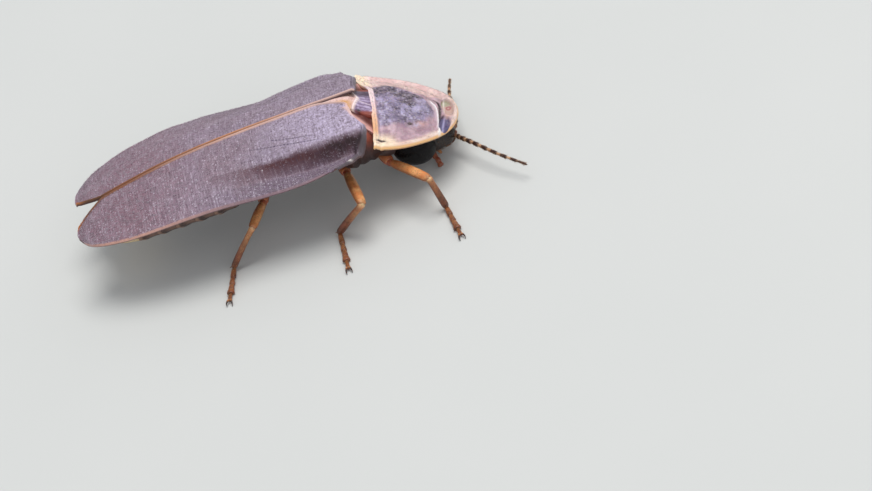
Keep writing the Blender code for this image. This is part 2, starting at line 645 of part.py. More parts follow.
def tarsus_object(heel, toe):
    """Foot of five lobed segments, its underside flat on the floor."""
    count = TARSUS_SEGMENTS * TARSUS_RINGS
    points = straight(heel, toe, count)
    within = (np.arange(count) % TARSUS_RINGS) / (TARSUS_RINGS - 1.0)
    radii = TARSUS_WAIST + (TARSUS_RADIUS - TARSUS_WAIST) * within
    radii[-1] = TARSUS_TIP_RADIUS
    rings = tube_rings(points, radii, LEG_SIDES, (0.0, 0.0, 1.0))
    rings[..., 2] = np.maximum(rings[..., 2], 0.0)
    return ring_object("tarsus", rings)


def claw_objects(heel, toe):
    """Two short claws that spread from the toe."""
    along = (toe - heel) / np.linalg.norm(toe - heel)
    claws = []
    for turn in (-CLAW_SPREAD, CLAW_SPREAD):
        way = np.array((along[0] * math.cos(turn) - along[1] * math.sin(turn),
                        along[0] * math.sin(turn) + along[1] * math.cos(turn), 0.0))
        aside = math.copysign(CLAW_SETTING, turn) * np.array((-along[1], along[0], 0.0))
        start = toe + aside - CLAW_ROOT_SHARE * CLAW_LENGTH * way + (0.0, 0.0, CLAW_ROOT_RISE)
        end = toe + aside + CLAW_LENGTH * way - (0.0, 0.0, CLAW_TIP_FALL)
        radii = np.linspace(CLAW_RADIUS, CLAW_TIP_RADIUS, 3)
        rings = tube_rings(straight(start, end, 3), radii, CLAW_SIDES, (0.0, 0.0, 1.0))
        claws.append(ring_object("claw", rings))
    return claws


def leg(pair, side_name, stance, body):
    """Leg from its hip to its claws; each joint is sunk into the next piece and fused."""
    hip, root, knee = (np.array(point) * MM for point in stance[:3])
    heel, toe = (np.array((*point, 0.0)) * MM for point in stance[3:])
    ankle = heel + np.array((0.0, 0.0, HEEL_HEIGHT))
    heel[2] = toe[2] = TARSUS_HEIGHT
    bend = np.cross(knee - root, ankle - knee)
    hint = bend / np.linalg.norm(bend)
    femur_way = (knee - root) / np.linalg.norm(knee - root)
    tibia_way = (ankle - knee) / np.linalg.norm(ankle - knee)
    inner = root + femur_way * FEMUR_RADII[0]
    coxa = ring_object(pair + "_leg_" + side_name,
                       tube_rings(straight(hip, inner, 3), COXA_RADII, LEG_SIDES, (1.0, 0.0, 0.0)))
    femur_end = knee + femur_way * KNEE_OVERRUN
    femur = ring_object("femur", tube_rings(straight(root, femur_end, 4), FEMUR_RADII, LEG_SIDES, hint))
    shin_start = knee - tibia_way * SHIN_OVERRUN
    tibia = ring_object("tibia", tube_rings(straight(shin_start, ankle, 3), TIBIA_RADII, LEG_SIDES, hint))
    foot_way = (toe - heel) / np.linalg.norm(toe - heel)
    foot = tarsus_object(heel - foot_way * HEEL_OVERRUN, toe)
    fuse(coxa, [femur, tibia, foot] + claw_objects(heel, toe))
    return place(coxa, root, body, LEG_FINISH)


def main():
    """Clears the scene and builds every node."""
    for obj in list(bpy.data.objects):
        bpy.data.objects.remove(obj, do_unlink=True)
    body = frame_empty("firefly", (BODY_SHIFT_X, 0.0, 0.0))
    front_place = (SHIELD_BASE_X, 0.0, SUTURE_HEIGHT - SHIELD_BASE_DROP)
    front = frame_empty("front_body", front_place, SHIELD_TURN, body)
    pronotum(front)
    prothorax(front)
    head(front)
    scutellum(body)
    thorax(body)
    abdomen(body)
    abdomen_tip(body)
    for side_name, side, stance in (("right", -1.0, LEG_STANCE), ("left", 1.0, LEFT_STANCE)):
        elytron(side_name, side, body)
        eye(side_name, side, front)
        antenna(side_name, body)
        for pair in ("front", "mid", "hind"):
            leg(pair, side_name, stance[pair], body)


main()
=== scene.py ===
"""Looks of the winged male firefly: fine surfaces, finishes, hairs, floor, light and camera.

Shapes are worked out in millimetres in the body's frame, whose zero is the front of the wing-case seam, and
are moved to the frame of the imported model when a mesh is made. The neck shield, head and eyes use a second,
tilted frame, as the solids do.
"""
import math

import bpy
import numpy as np
from mathutils import Matrix


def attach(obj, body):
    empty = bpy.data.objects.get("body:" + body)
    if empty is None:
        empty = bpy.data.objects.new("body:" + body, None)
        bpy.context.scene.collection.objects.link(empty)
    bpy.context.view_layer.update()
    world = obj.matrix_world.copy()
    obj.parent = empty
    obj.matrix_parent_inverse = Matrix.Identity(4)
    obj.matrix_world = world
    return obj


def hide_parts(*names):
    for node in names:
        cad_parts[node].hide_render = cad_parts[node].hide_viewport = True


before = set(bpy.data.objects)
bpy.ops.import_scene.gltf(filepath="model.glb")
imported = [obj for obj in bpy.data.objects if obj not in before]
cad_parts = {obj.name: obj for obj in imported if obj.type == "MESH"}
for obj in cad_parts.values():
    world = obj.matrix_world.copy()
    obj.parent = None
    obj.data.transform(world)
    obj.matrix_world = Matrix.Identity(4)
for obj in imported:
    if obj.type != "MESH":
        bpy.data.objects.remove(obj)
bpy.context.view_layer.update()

MM = 0.001
BODY_SHIFT_X = 2.46            # from the body's frame to the model's, millimetres
SEAM_HEIGHT = 3.3              # top of the wing cases over the floor, at their front
SEED = 20071
SIDES = {"right": -1.0, "left": 1.0}
ACROSS = np.array((0.0, 1.0, 0.0))
UPWARD = np.array((0.0, 0.0, 1.0))

# Wing cases, as in the solids
CASE_LENGTH = 9.3
CASE_WIDTH = 2.31
CASE_GAP = 0.14                # half the gap between the two solids
SHOULDER_SHARE = 0.983
FULL_WIDTH_AT = 0.5
APEX_WIDTH = 0.95
APEX_START = 0.60
APEX_POWER = 2.3
SEAM_STATIONS = (0.0, 0.20, 0.45, 0.63, 0.82, 1.0)
SEAM_FALL = (0.0, 0.012, 0.094, 0.249, 0.57, 0.973)
EDGE_STATIONS = (0.0, 0.25, 0.60, 1.0)
EDGE_DROP = (0.751, 0.89, 0.554, 0.19)
CAMBER_POWER = 2.2
FOLD_FADE = (0.08, 0.50)
FOLD_SHARE = 0.72

# Wing cases, finer than in the solids
FRONT_Y = (0.0, 0.17, 0.40, 0.80, 1.02, 1.28, 1.48, 1.70, 1.80, 1.89, 1.94, 2.05, 2.17, 2.29, 2.37, 2.46)
FRONT_X = {
    -1.0: (-0.36, -0.34, -0.31, -0.25, -0.21, -0.07, 0.05, 0.02,
           -0.06, -0.22, -0.32, -0.42, -0.50, -0.67, -0.94, -1.20),
    1.0: (-0.01, 0.02, 0.06, 0.10, 0.09, 0.02, -0.06, -0.16,
          -0.20, -0.24, -0.27, -0.36, -0.50, -0.72, -0.94, -1.20),
}
NOTCH_DEPTH = {-1.0: 0.42, 1.0: 0.04}   # how far the inner front corners are cut away beside the scutellum
NOTCH_SHARE = 0.13             # share of the length that the cut takes
NARROWING_S = (0.0, 0.17, 0.34, 0.5, 1.0)
NARROWING = {-1.0: (1.0, 1.0, 0.975, 0.955, 0.945), 1.0: (0.985, 0.985, 0.985, 0.985, 0.985)}
FOLD_S = (0.0, 0.07, 0.18, 0.28, 0.36, 0.47, 1.0)
FOLD_TOP = (0.715, 0.695, 0.682, 0.660, 0.630, 0.56, 0.53)
FOLD_FOOT = 0.785
COSTAE = (0.17, 0.33, 0.49)
# Dark lines: share of the width at a share of the length, slope, and first and last share of the length
DARK_LINES = ((0.504, 0.248, 1.11, 0.14, 0.38), (0.440, 0.217, 1.26, 0.16, 0.30))
GAPE_START = 8.30              # the cases part this far behind the front of the seam
GAPE_LENGTH = 1.0
GAPE = {-1.0: 0.72, 1.0: 0.36}
CASE_ROWS = 320
CASE_COLUMNS = 150
CASE_THICKNESS = 0.10
SEAM_SLIT = 0.008              # half the slit between the two cases

# Hairs: half widths, and how many lie on each part
FINE_HAIR = 0.0034
FEELER_HAIR = 0.0035
FACE_HAIR = 0.0040
BRISTLE = 0.0045
CASE_HAIRS = 14000
SHIELD_HAIRS = 3500
FACE_HAIRS = 900
FEELER_HAIRS = 700

# Neck shield, as in the solids
SHIELD_PLACE = (0.30, 0.0, SEAM_HEIGHT - 0.548)
SHIELD_TURN = tuple(math.radians(v) for v in (0.8, 28.6, 1.7))
SHIELD_LENGTH = 2.77
SHIELD_HALF_WIDTH = 1.93
SHIELD_CAMBER = 0.416
SHIELD_POWER = 2.23
SHIELD_SIDES_END = 0.97 * SHIELD_LENGTH
NOSE_POWER = 8.0
SHIELD_THICKNESS = 0.22
SHIELD_STEPS = 200
BASE_Y = (-1.93, -1.5, -1.0, -0.5, 0.0, 0.45, 0.72, 0.9, 1.1, 1.4, 1.7, 1.93)
BASE_X = (-0.13, -0.09, -0.05, -0.02, 0.02, 0.06, 0.07, -0.03, -0.13, -0.16, -0.12, -0.04)
NEAR_CAMBER = 0.33             # the right side hangs a little less than the left
RIDGE_X = 2.04                 # the ridge in front of the disc, at its foremost point
RIDGE_Y = -0.30
ARC_X = 2.20                   # the groove in front of that ridge, painted near black as shade
ARC_Y = 0.10
# Windows: middle along and across, half length, half width and slant
WINDOWS = ((2.21, -0.81, 0.19, 0.40, 0.28), (2.44, 0.0, 0.18, 0.43, 0.0))
KEEL_Y = -0.42

# Legs: hip, root, knee, heel and toe, as in the solids
STANCE = {
    "front_leg_right": ((0.10, -0.62, 1.30), (0.27, -1.02, 1.14), (1.32, -2.60, 1.28),
                        (1.50, -2.66), (1.69, -4.00)),
    "mid_leg_right": ((-1.16, -0.50, 1.30), (-1.05, -0.96, 1.24), (-0.77, -2.89, 1.40),
                      (-1.80, -2.24), (-1.77, -3.82)),
    "hind_leg_right": ((-3.62, -0.40, 1.20), (-3.72, -0.88, 1.12), (-4.14, -2.24, 1.38),
                       (-5.17, -2.20), (-5.44, -3.50)),
    "front_leg_left": ((0.06, 0.62, 1.30), (0.20, 1.04, 1.12), (0.96, 2.30, 1.14),
                       (1.30, 2.12), (1.18, 3.16)),
    "mid_leg_left": ((-1.16, 0.50, 1.30), (-1.05, 0.96, 1.24), (-0.80, 2.84, 1.38),
                     (-1.84, 2.40), (-1.70, 4.10)),
    "hind_leg_left": ((-3.62, 0.40, 1.20), (-3.72, 0.88, 1.12), (-4.12, 2.30, 1.38),
                      (-5.10, 2.34), (-5.42, 3.66)),
}
# Half widths of thigh and shin
LEG_HALF_WIDTHS = {"front": (0.158, 0.098), "mid": (0.176, 0.106), "hind": (0.145, 0.084)}
SOCKET = np.array((2.26, 0.13, 0.78))    # inner end of a feeler's first joint, inside the head
FEELERS = {
    "right": ((2.46, -0.24, 0.58), (2.88, -0.92, 0.66), (3.50, -1.76, 0.62), (4.20, -2.52, 0.52)),
    "left": ((2.44, 0.32, 0.60), (2.58, 0.86, 0.74), (2.55, 1.55, 0.84), (2.70, 2.56, 0.70)),
}

# Camera: a 100 mm lens, its place worked out from the body's outline in the picture
LENS = 100.0
VIEW_TURN = math.radians(4.618)
VIEW_HEIGHT = math.radians(39.999)
VIEW_ROLL = math.radians(21.562)
VIEW_DISTANCE = 68.855
VIEW_TARGET = (1.050, -5.863, 1.5)


def held(value):
    """The value held between 0 and 1."""
    return np.clip(value, 0.0, 1.0)


def rise(value, low, high):
    """0 below low, 1 above high, and an S-shaped blend between them."""
    share = held((value - low) / (high - low))
    return share * share * (3.0 - 2.0 * share)


def fall(value, low, high):
    """1 below low, 0 above high, and an S-shaped blend between them."""
    return 1.0 - rise(value, low, high)


def bump(value, centre, width):
    """A rounded ridge of height 1 at centre: the bell curve of the distance over the width."""
    return np.exp(-(((value - centre) / width) ** 2))


def hills(u, v, seed):
    """Smooth random hills from -1 to 1: random heights on a lattice of whole numbers, blended by S-curves."""
    size = 256
    table = np.random.default_rng(seed).uniform(-1.0, 1.0, (size, size))
    i, j = np.floor(u).astype(int), np.floor(v).astype(int)
    a, b = rise(u - i, 0.0, 1.0), rise(v - j, 0.0, 1.0)
    low, high = (table[i % size, k % size] * (1.0 - a) + table[(i + 1) % size, k % size] * a
                 for k in (j, j + 1))
    return low * (1.0 - b) + high * b


def crowded(count, strength):
    """Numbers from 0 to 1 that gather at both ends: an even row blended with a cosine row."""
    even = np.linspace(0.0, 1.0, count)
    return (1.0 - strength) * even + strength * 0.5 * (1.0 - np.cos(np.pi * even))


def unit(vectors):
    """The vectors at length 1."""
    return vectors / np.maximum(np.linalg.norm(vectors, axis=-1, keepdims=True), 1e-12)


def spline(knots, count):
    """Catmull-Rom curve through the knots, read at evenly spaced parameters."""
    knots = np.array(knots, dtype=float)
    padded = np.vstack([2 * knots[0] - knots[1], knots, 2 * knots[-1] - knots[-2]])
    place = np.linspace(0.0, len(knots) - 1.0, count)
    index = np.minimum(place.astype(int), len(knots) - 2)
    t = (place - index)[:, None]
    p0, p1, p2, p3 = (padded[index + k] for k in range(4))
    return 0.5 * (2 * p1 + (p2 - p0) * t + (2 * p0 - 5 * p1 + 4 * p2 - p3) * t**2
                  + (3 * p1 - p0 - 3 * p2 + p3) * t**3)


def through(value, places, values):
    """Smooth curve through the given values, read off a finely stepped spline."""
    fine = spline(np.column_stack([places, values]), 400)
    return np.interp(value, fine[:, 0], fine[:, 1])


def shield_frame():
    """The tilted frame as a 3 by 3 matrix: turned about X, then Y, then Z."""
    (cx, cy, cz), (sx, sy, sz) = np.cos(SHIELD_TURN), np.sin(SHIELD_TURN)
    about_x = np.array([[1, 0, 0], [0, cx, -sx], [0, sx, cx]])
    about_y = np.array([[cy, 0, sy], [0, 1, 0], [-sy, 0, cy]])
    about_z = np.array([[cz, -sz, 0], [sz, cz, 0], [0, 0, 1]])
    return about_z @ about_y @ about_x


def from_front(points):
    """Points of the tilted front frame in the body's frame."""
    return points @ shield_frame().T + np.array(SHIELD_PLACE)


# Surfaces: a surface is (points, list of face arrays, marks); marks are named numbers, one for each point

def sheet_faces(rows, columns, closed):
    """Four-sided faces of a grid; a closed grid joins its last column to its first."""
    i, j = np.meshgrid(np.arange(rows - 1), np.arange(columns if closed else columns - 1), indexing="ij")
    after = (j + 1) % columns
    low, high = i * columns, (i + 1) * columns
    return np.stack([low + j, low + after, high + after, high + j], axis=-1).reshape(-1, 4)


def plate(top, thickness, marks):
    """Closed plate: a grid of points, the same grid lowered, and a wall of faces between their edges."""
    rows, columns = top.shape[:2]
    count = rows * columns
    number = np.arange(count).reshape(rows, columns)
    edge = np.concatenate([number[0], number[1:, -1], number[-1, -2::-1], number[-2:0:-1, 0]])
    after = np.roll(edge, -1)
    wall = np.stack([edge, edge + count, after + count, after], axis=-1)
    faces = sheet_faces(rows, columns, False)
    points = np.vstack([top.reshape(-1, 3), (top - thickness).reshape(-1, 3)])
    doubled = {name: np.tile(np.broadcast_to(mark, (rows, columns)).ravel(), 2)
               for name, mark in marks.items()}
    doubled["under"] = np.repeat([0.0, 1.0], count)
    return points, [faces, faces[:, ::-1] + count, wall], doubled


def stack(rings, marks):
    """Closed body from a stack of rings, with a fan of triangles to a middle point at each end."""
    rows, sides = rings.shape[:2]
    count = rows * sides
    points = np.vstack([rings.reshape(-1, 3), rings[0].mean(axis=0), rings[-1].mean(axis=0)])
    here = np.arange(sides)
    after = (here + 1) % sides
    first = np.stack([np.full(sides, count), after, here], axis=-1)
    last = np.stack([np.full(sides, count + 1), count - sides + here, count - sides + after], axis=-1)
    full = {}
    for name, mark in marks.items():
        grid = np.broadcast_to(mark, (rows, sides))
        full[name] = np.concatenate([grid.ravel(), [grid[0].mean(), grid[-1].mean()]])
    return points, [sheet_faces(rows, sides, True), first, last], full


def tube(line, wide, high, sides, hint, marks):
    """Closed tube: an oval of the given half sizes carried along a line, its wide way turned to the hint."""
    tangent = unit(np.gradient(line, axis=0))
    across = unit(hint - (tangent @ hint)[:, None] * tangent)
    over = np.cross(tangent, across)
    angle = 2.0 * np.pi * np.arange(sides) / sides
    wide, high = (np.broadcast_to(half, len(line))[:, None, None] for half in (wide, high))
    rings = (line[:, None, :] + wide * np.cos(angle)[None, :, None] * across[:, None, :]
             + high * np.sin(angle)[None, :, None] * over[:, None, :])
    grids = {name: np.reshape(mark, (-1, 1)) for name, mark in marks.items()}
    # edge is 1 at the two sides of the wide way; the leg finish darkens it there as painted shade
    grids["edge"] = np.abs(np.cos(angle)) ** 6
    return stack(rings, grids)


def joined(surfaces):
    """Several surfaces as one; a mark that one of them lacks is 0 there."""
    names = sorted({name for _, _, marks in surfaces for name in marks})
    faces, start = [], 0
    for points, some_faces, _ in surfaces:
        faces += [face + start for face in some_faces]
        start += len(points)
    marks = {name: np.concatenate([marks.get(name, np.zeros(len(points))) for points, _, marks in surfaces])
             for name in names}
    return np.vstack([points for points, _, _ in surfaces]), faces, marks


def outward(points, faces):
    """The faces, all turned round where the closed surface would hold a negative volume."""
    corners = [face[:, pick] for face in faces for pick in ([0, 1, 2], [0, 2, 3]) if pick[2] < face.shape[1]]
    tri = points[np.vstack(corners)]
    volume = np.einsum("ij,ij->i", tri[:, 0], np.cross(tri[:, 1], tri[:, 2])).sum()
    return faces if volume > 0 else [face[:, ::-1] for face in faces]


def make_piece(name, surface, material, slot, replaced=(), tilted=False, bake_uv=None):
    """Puts a surface into a mesh, in metres and in the model's frame, as an object of the given name, and
    hides the model's parts that it replaces.
    """
    points, faces, marks = surface
    if tilted:
        points = from_front(points)
    if bake_uv is None:
        faces = outward(points, faces)
    mesh = bpy.data.meshes.new(name)
    world = (points + (BODY_SHIFT_X, 0.0, 0.0)) * MM
    mesh.vertices.add(len(world))
    mesh.vertices.foreach_set("co", world.astype(np.float32).ravel())
    corners = np.concatenate([face.ravel() for face in faces]).astype(np.int32)
    sizes = np.concatenate([np.full(len(face), face.shape[1]) for face in faces])
    mesh.loops.add(len(corners))
    mesh.loops.foreach_set("vertex_index", corners)
    mesh.polygons.add(len(sizes))
    mesh.polygons.foreach_set("loop_start", (np.cumsum(sizes) - sizes).astype(np.int32))
    mesh.update(calc_edges=True)
    for mark_name, mark in marks.items():
        attribute = mesh.attributes.new(mark_name, "FLOAT", "POINT")
        attribute.data.foreach_set("value", mark.astype(np.float32))
    if bake_uv is not None:
        layer = mesh.uv_layers.new(name="OFBake")
        layer.data.foreach_set("uv", bake_uv[corners].astype(np.float32).ravel())
    mesh.shade_smooth()
    mesh.materials.append(material)
    piece = bpy.data.objects.new(name, mesh)
    bpy.context.scene.collection.objects.link(piece)
    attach(piece, "root")
    if replaced:
        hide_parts(*replaced)


# Finishes

def colour(tint):
    """A screen colour, 0 to 255, as the linear numbers that a shader takes; a socket stays as it is."""
    if isinstance(tint, bpy.types.NodeSocket):
        return tint
    share = np.array(tint) / 255.0
    linear = np.where(share <= 0.04045, share / 12.92, ((share + 0.055) / 1.055) ** 2.4)
    return (*(float(v) for v in linear), 1.0)


def add(tree, kind, inputs=None, **settings):
    """Adds a node; inputs maps a socket's name or number to a value, or to a socket that feeds it."""
    made = tree.nodes.new(kind)
    for name, value in settings.items():
        setattr(made, name, value)
    for key, value in (inputs or {}).items():
        if isinstance(value, bpy.types.NodeSocket):
            tree.links.new(value, made.inputs[key])
        else:
            made.inputs[key].default_value = value
    return made


def maths(tree, operation, first, second):
    """Result of a Math node."""
    return add(tree, "ShaderNodeMath", {0: first, 1: second}, operation=operation).outputs[0]


def times(tree, first, *others):
    """Product of several values."""
    for other in others:
        first = maths(tree, "MULTIPLY", first, other)
    return first


def mixed(tree, factor, first, second):
    """Colour between two colours."""
    inputs = {0: factor, 6: colour(first), 7: colour(second)}
    return add(tree, "ShaderNodeMix", inputs, data_type="RGBA").outputs[2]


def stretch(tree, value, low, high, to_low=0.0, to_high=1.0):
    """Maps the range low to high onto another one, held at its ends."""
    inputs = {0: value, 1: low, 2: high, 3: to_low, 4: to_high}
    return add(tree, "ShaderNodeMapRange", inputs, interpolation_type="SMOOTHSTEP").outputs[0]


def mark(tree, name):
    """Value of one of the surface's named marks."""
    return add(tree, "ShaderNodeAttribute", attribute_name=name).outputs["Fac"]


def noise(tree, place, scale, detail, roughness=0.5, distortion=0.0):
    """Cloudy noise."""
    inputs = {"Vector": place, "Scale": scale, "Detail": detail, "Roughness": roughness,
              "Distortion": distortion}
    return add(tree, "ShaderNodeTexNoise", inputs).outputs["Fac"]


def new_group(name, output, **inputs):
    """An empty node group with one output; an input with no value is a vector, and one with four a colour."""
    tree = bpy.data.node_groups.new(name, "ShaderNodeTree")
    for key, value in inputs.items():
        kind = "Vector" if value is None else "Color" if isinstance(value, tuple) else "Float"
        socket = tree.interface.new_socket(key, in_out="INPUT", socket_type="NodeSocket" + kind)
        if value is not None:
            socket.default_value = value
    kind = "Color" if output == "Color" else "Float"
    tree.interface.new_socket(output, in_out="OUTPUT", socket_type="NodeSocket" + kind)
    return tree, tree.nodes.new("NodeGroupInput").outputs, tree.nodes.new("NodeGroupOutput").inputs[0]


def grain_group():
    """Leathery grain: noise drawn out along one way, with finer round grain over it.

    Lengths are in millimetres.
    """
    tree, given, out = new_group("leathery_grain", "Height", Vector=None, Length=0.2, Width=0.05, Fine=0.35)
    by_length, by_width = (maths(tree, "DIVIDE", 1.0, given[key]) for key in ("Length", "Width"))
    ratio = add(tree, "ShaderNodeCombineXYZ", {0: by_width, 1: by_length, 2: by_length}).outputs[0]
    drawn = add(tree, "ShaderNodeVectorMath", {0: given["Vector"], 1: ratio}, operation="MULTIPLY").outputs[0]
    coarse = noise(tree, drawn, 1.0, 3.0, 0.6, 0.4)
    fine = noise(tree, given["Vector"], 26.0, 2.0, 0.6)
    share = add(tree, "ShaderNodeMix", {0: given["Fine"], 2: coarse, 3: fine}, data_type="FLOAT")
    tree.links.new(share.outputs[0], out)
    return tree


def speck_group():
    """Scattered small specks: round cells round random points, of which a share is kept."""
    tree, given, out = new_group("specks", "Mask", Vector=None, Scale=4.0, Size=0.12, Share=0.4)
    cells = add(tree, "ShaderNodeTexVoronoi", {key: given[key] for key in ("Vector", "Scale")})
    near = maths(tree, "LESS_THAN", cells.outputs["Distance"], given["Size"])
    pick = add(tree, "ShaderNodeSeparateColor", {0: cells.outputs["Color"]}).outputs[0]
    tree.links.new(times(tree, near, maths(tree, "LESS_THAN", pick, given["Share"])), out)
    return tree


def drift_group():
    """Slow drift of a colour towards a second one, in patches of the given size with ragged edges."""
    tree, given, out = new_group("colour_drift", "Color", Vector=None, Color=(1.0, 1.0, 1.0, 1.0),
                                 Other=(0.0, 0.0, 0.0, 1.0), Patches=1.0, Amount=0.5)
    patch = stretch(tree, noise(tree, given["Vector"], given["Patches"], 5.0, 0.62), 0.36, 0.64)
    tree.links.new(mixed(tree, times(tree, patch, given["Amount"]), given["Color"], given["Other"]), out)
    return tree


GRAIN = grain_group()
SPECKS = speck_group()
DRIFT = drift_group()


def use_group(tree, group, **inputs):
    """Places a shared group in a material and gives its output."""
    return add(tree, "ShaderNodeGroup", inputs, node_tree=group).outputs[0]


def grained(tree, place, length, width, fine):
    """Height of the leathery grain."""
    return use_group(tree, GRAIN, Vector=place, Length=length, Width=width, Fine=fine)


def specks(tree, place, scale, size, share):
    """Mask of small specks."""
    return use_group(tree, SPECKS, Vector=place, Scale=scale, Size=size, Share=share)


def drift(tree, place, first, second, patches, amount):
    """A colour that drifts to a second one."""
    return use_group(tree, DRIFT, Vector=place, Color=colour(first), Other=colour(second), Patches=patches,
                     Amount=amount)


def new_finish(name, roughness, gloss, **plain):
    """A material, its tree, its shader and Object coordinates in millimetres. The plain values are set on the
    shader's own sockets."""
    material = bpy.data.materials.new(name)
    material.use_nodes = True
    tree = material.node_tree
    shader = tree.nodes["Principled BSDF"]
    for key, value in dict(plain, Roughness=roughness, Specular_IOR_Level=gloss).items():
        shader.inputs[key.replace("_", " ")].default_value = value
    place = add(tree, "ShaderNodeTexCoord").outputs["Object"]
    place = add(tree, "ShaderNodeVectorMath", {0: place, "Scale": 1 / MM}, operation="SCALE").outputs[0]
    return material, tree, shader, place


def paint(tree, base, layers):
    """Lays colours over a base, one after another; a layer is (a mark's name or a mask, strength, colour)."""
    for mask, strength, tint in layers:
        mask = mark(tree, mask) if isinstance(mask, str) else mask
        base = mixed(tree, mask if strength == 1.0 else times(tree, mask, strength), base, tint)
    return base


def feed(tree, shader, base, value, rough, height, depth, strength=0.7):
    """Feeds the shader: colour, roughness that follows a value over a range, and a height whose depth is in
    millimetres. rough holds the range and its two roughnesses."""
    tree.links.new(base, shader.inputs["Base Color"])
    tree.links.new(stretch(tree, value, *rough), shader.inputs["Roughness"])
    made = add(tree, "ShaderNodeBump", {"Height": height, "Distance": depth * MM, "Strength": strength})
    tree.links.new(made.outputs["Normal"], shader.inputs["Normal"])


def case_finish():
    """Wing cases: lavender to mauve leather with fine cross lines, tan seam beads, dark fold and pale lip.
    The fold's dark is partly painted shade, and the front part carries a painted sheen.
    """
    material, tree, shader, place = new_finish("wing_case", 0.55, 0.4, Sheen_Weight=0.3, Sheen_Roughness=0.35,
                                               Sheen_Tint=colour((214, 206, 232)))
    grain = grained(tree, place, 0.42, 0.040, 0.25)
    base = drift(tree, place, (162, 146, 166), (150, 126, 138), 0.9, 0.8)
    base = drift(tree, place, base, (128, 108, 124), 6.0, 0.5)
    open_part = maths(tree, "SUBTRACT", 1.0, times(tree, mark(tree, "fold"), 0.85))
    left, rear, front = (mark(tree, name) for name in ("left", "rear", "front"))
    bead_tint = mixed(tree, left, (226, 184, 168), (206, 148, 112))
    bead_tint = mixed(tree, rear, bead_tint, (150, 98, 68))
    base = paint(tree, base, [
        (rear, 0.78, (138, 100, 112)),
        # front: the front part above the fold painted lighter lavender as a painted sheen, weaker on the left
        # case
        (front, 0.85, mixed(tree, left, (200, 186, 214), (158, 142, 160))),
        # margin: the down-sloping margin below the fold painted darker violet-grey as painted shade
        ("margin", 0.80, (104, 84, 104)),
        # fold: dark maroon band under the shoulder; partly the case's own dark colour, partly painted shade
        # on the slope
        ("fold", 0.97, (80, 34, 36)),
        # near black in the hollow under the fold's top edge: painted shade
        ("fold_hollow_shade", 0.90, (38, 18, 22)),
        (stretch(tree, grain, 0.50, 0.36), 0.50, (94, 72, 88)),
        (specks(tree, place, 12.0, 0.42, 0.35), 0.42, (78, 56, 72)),
        (times(tree, stretch(tree, grain, 0.50, 0.64), open_part), 0.36, (210, 198, 216)),
        # pale specks over the open part: partly whitish hair points, partly painted glints
        (times(tree, specks(tree, place, 13.7, 0.34, 0.30), open_part), 0.42, (226, 216, 232)),
        # lip and crease: the front lip painted darker and the groove behind it near black, painted shade
        # along the front edge
        ("lip", 0.8, (98, 90, 94)),
        ("crease_shade", 0.75, (50, 36, 42)),
        ("white", 1.0, (246, 236, 228)),
        ("line", 0.90, (56, 42, 74)),
        ("root", 0.85, (236, 196, 184)),
        ("rim", 0.85, mixed(tree, rear, (150, 122, 130), (214, 164, 146))),
        # the front mark also turns the seam bead paler cream-pink at its front end
        ("bead", 1.0, mixed(tree, front, bead_tint, (230, 194, 184))),
        ("gape", 0.8, (110, 74, 48)),
        ("tip", 1.0, (198, 122, 72)),
        # slit: dark line in the seam between the beads, painted shade
        ("slit", 0.85, (66, 34, 28)),
        (specks(tree, place, 2.3, 0.06, 0.30), 0.65, (236, 230, 238)),
        ("under", 1.0, (104, 70, 60)),
    ])
    feed(tree, shader, base, grain, (0.2, 0.8, 0.68, 0.44), grain, 0.034, 0.9)
    return material


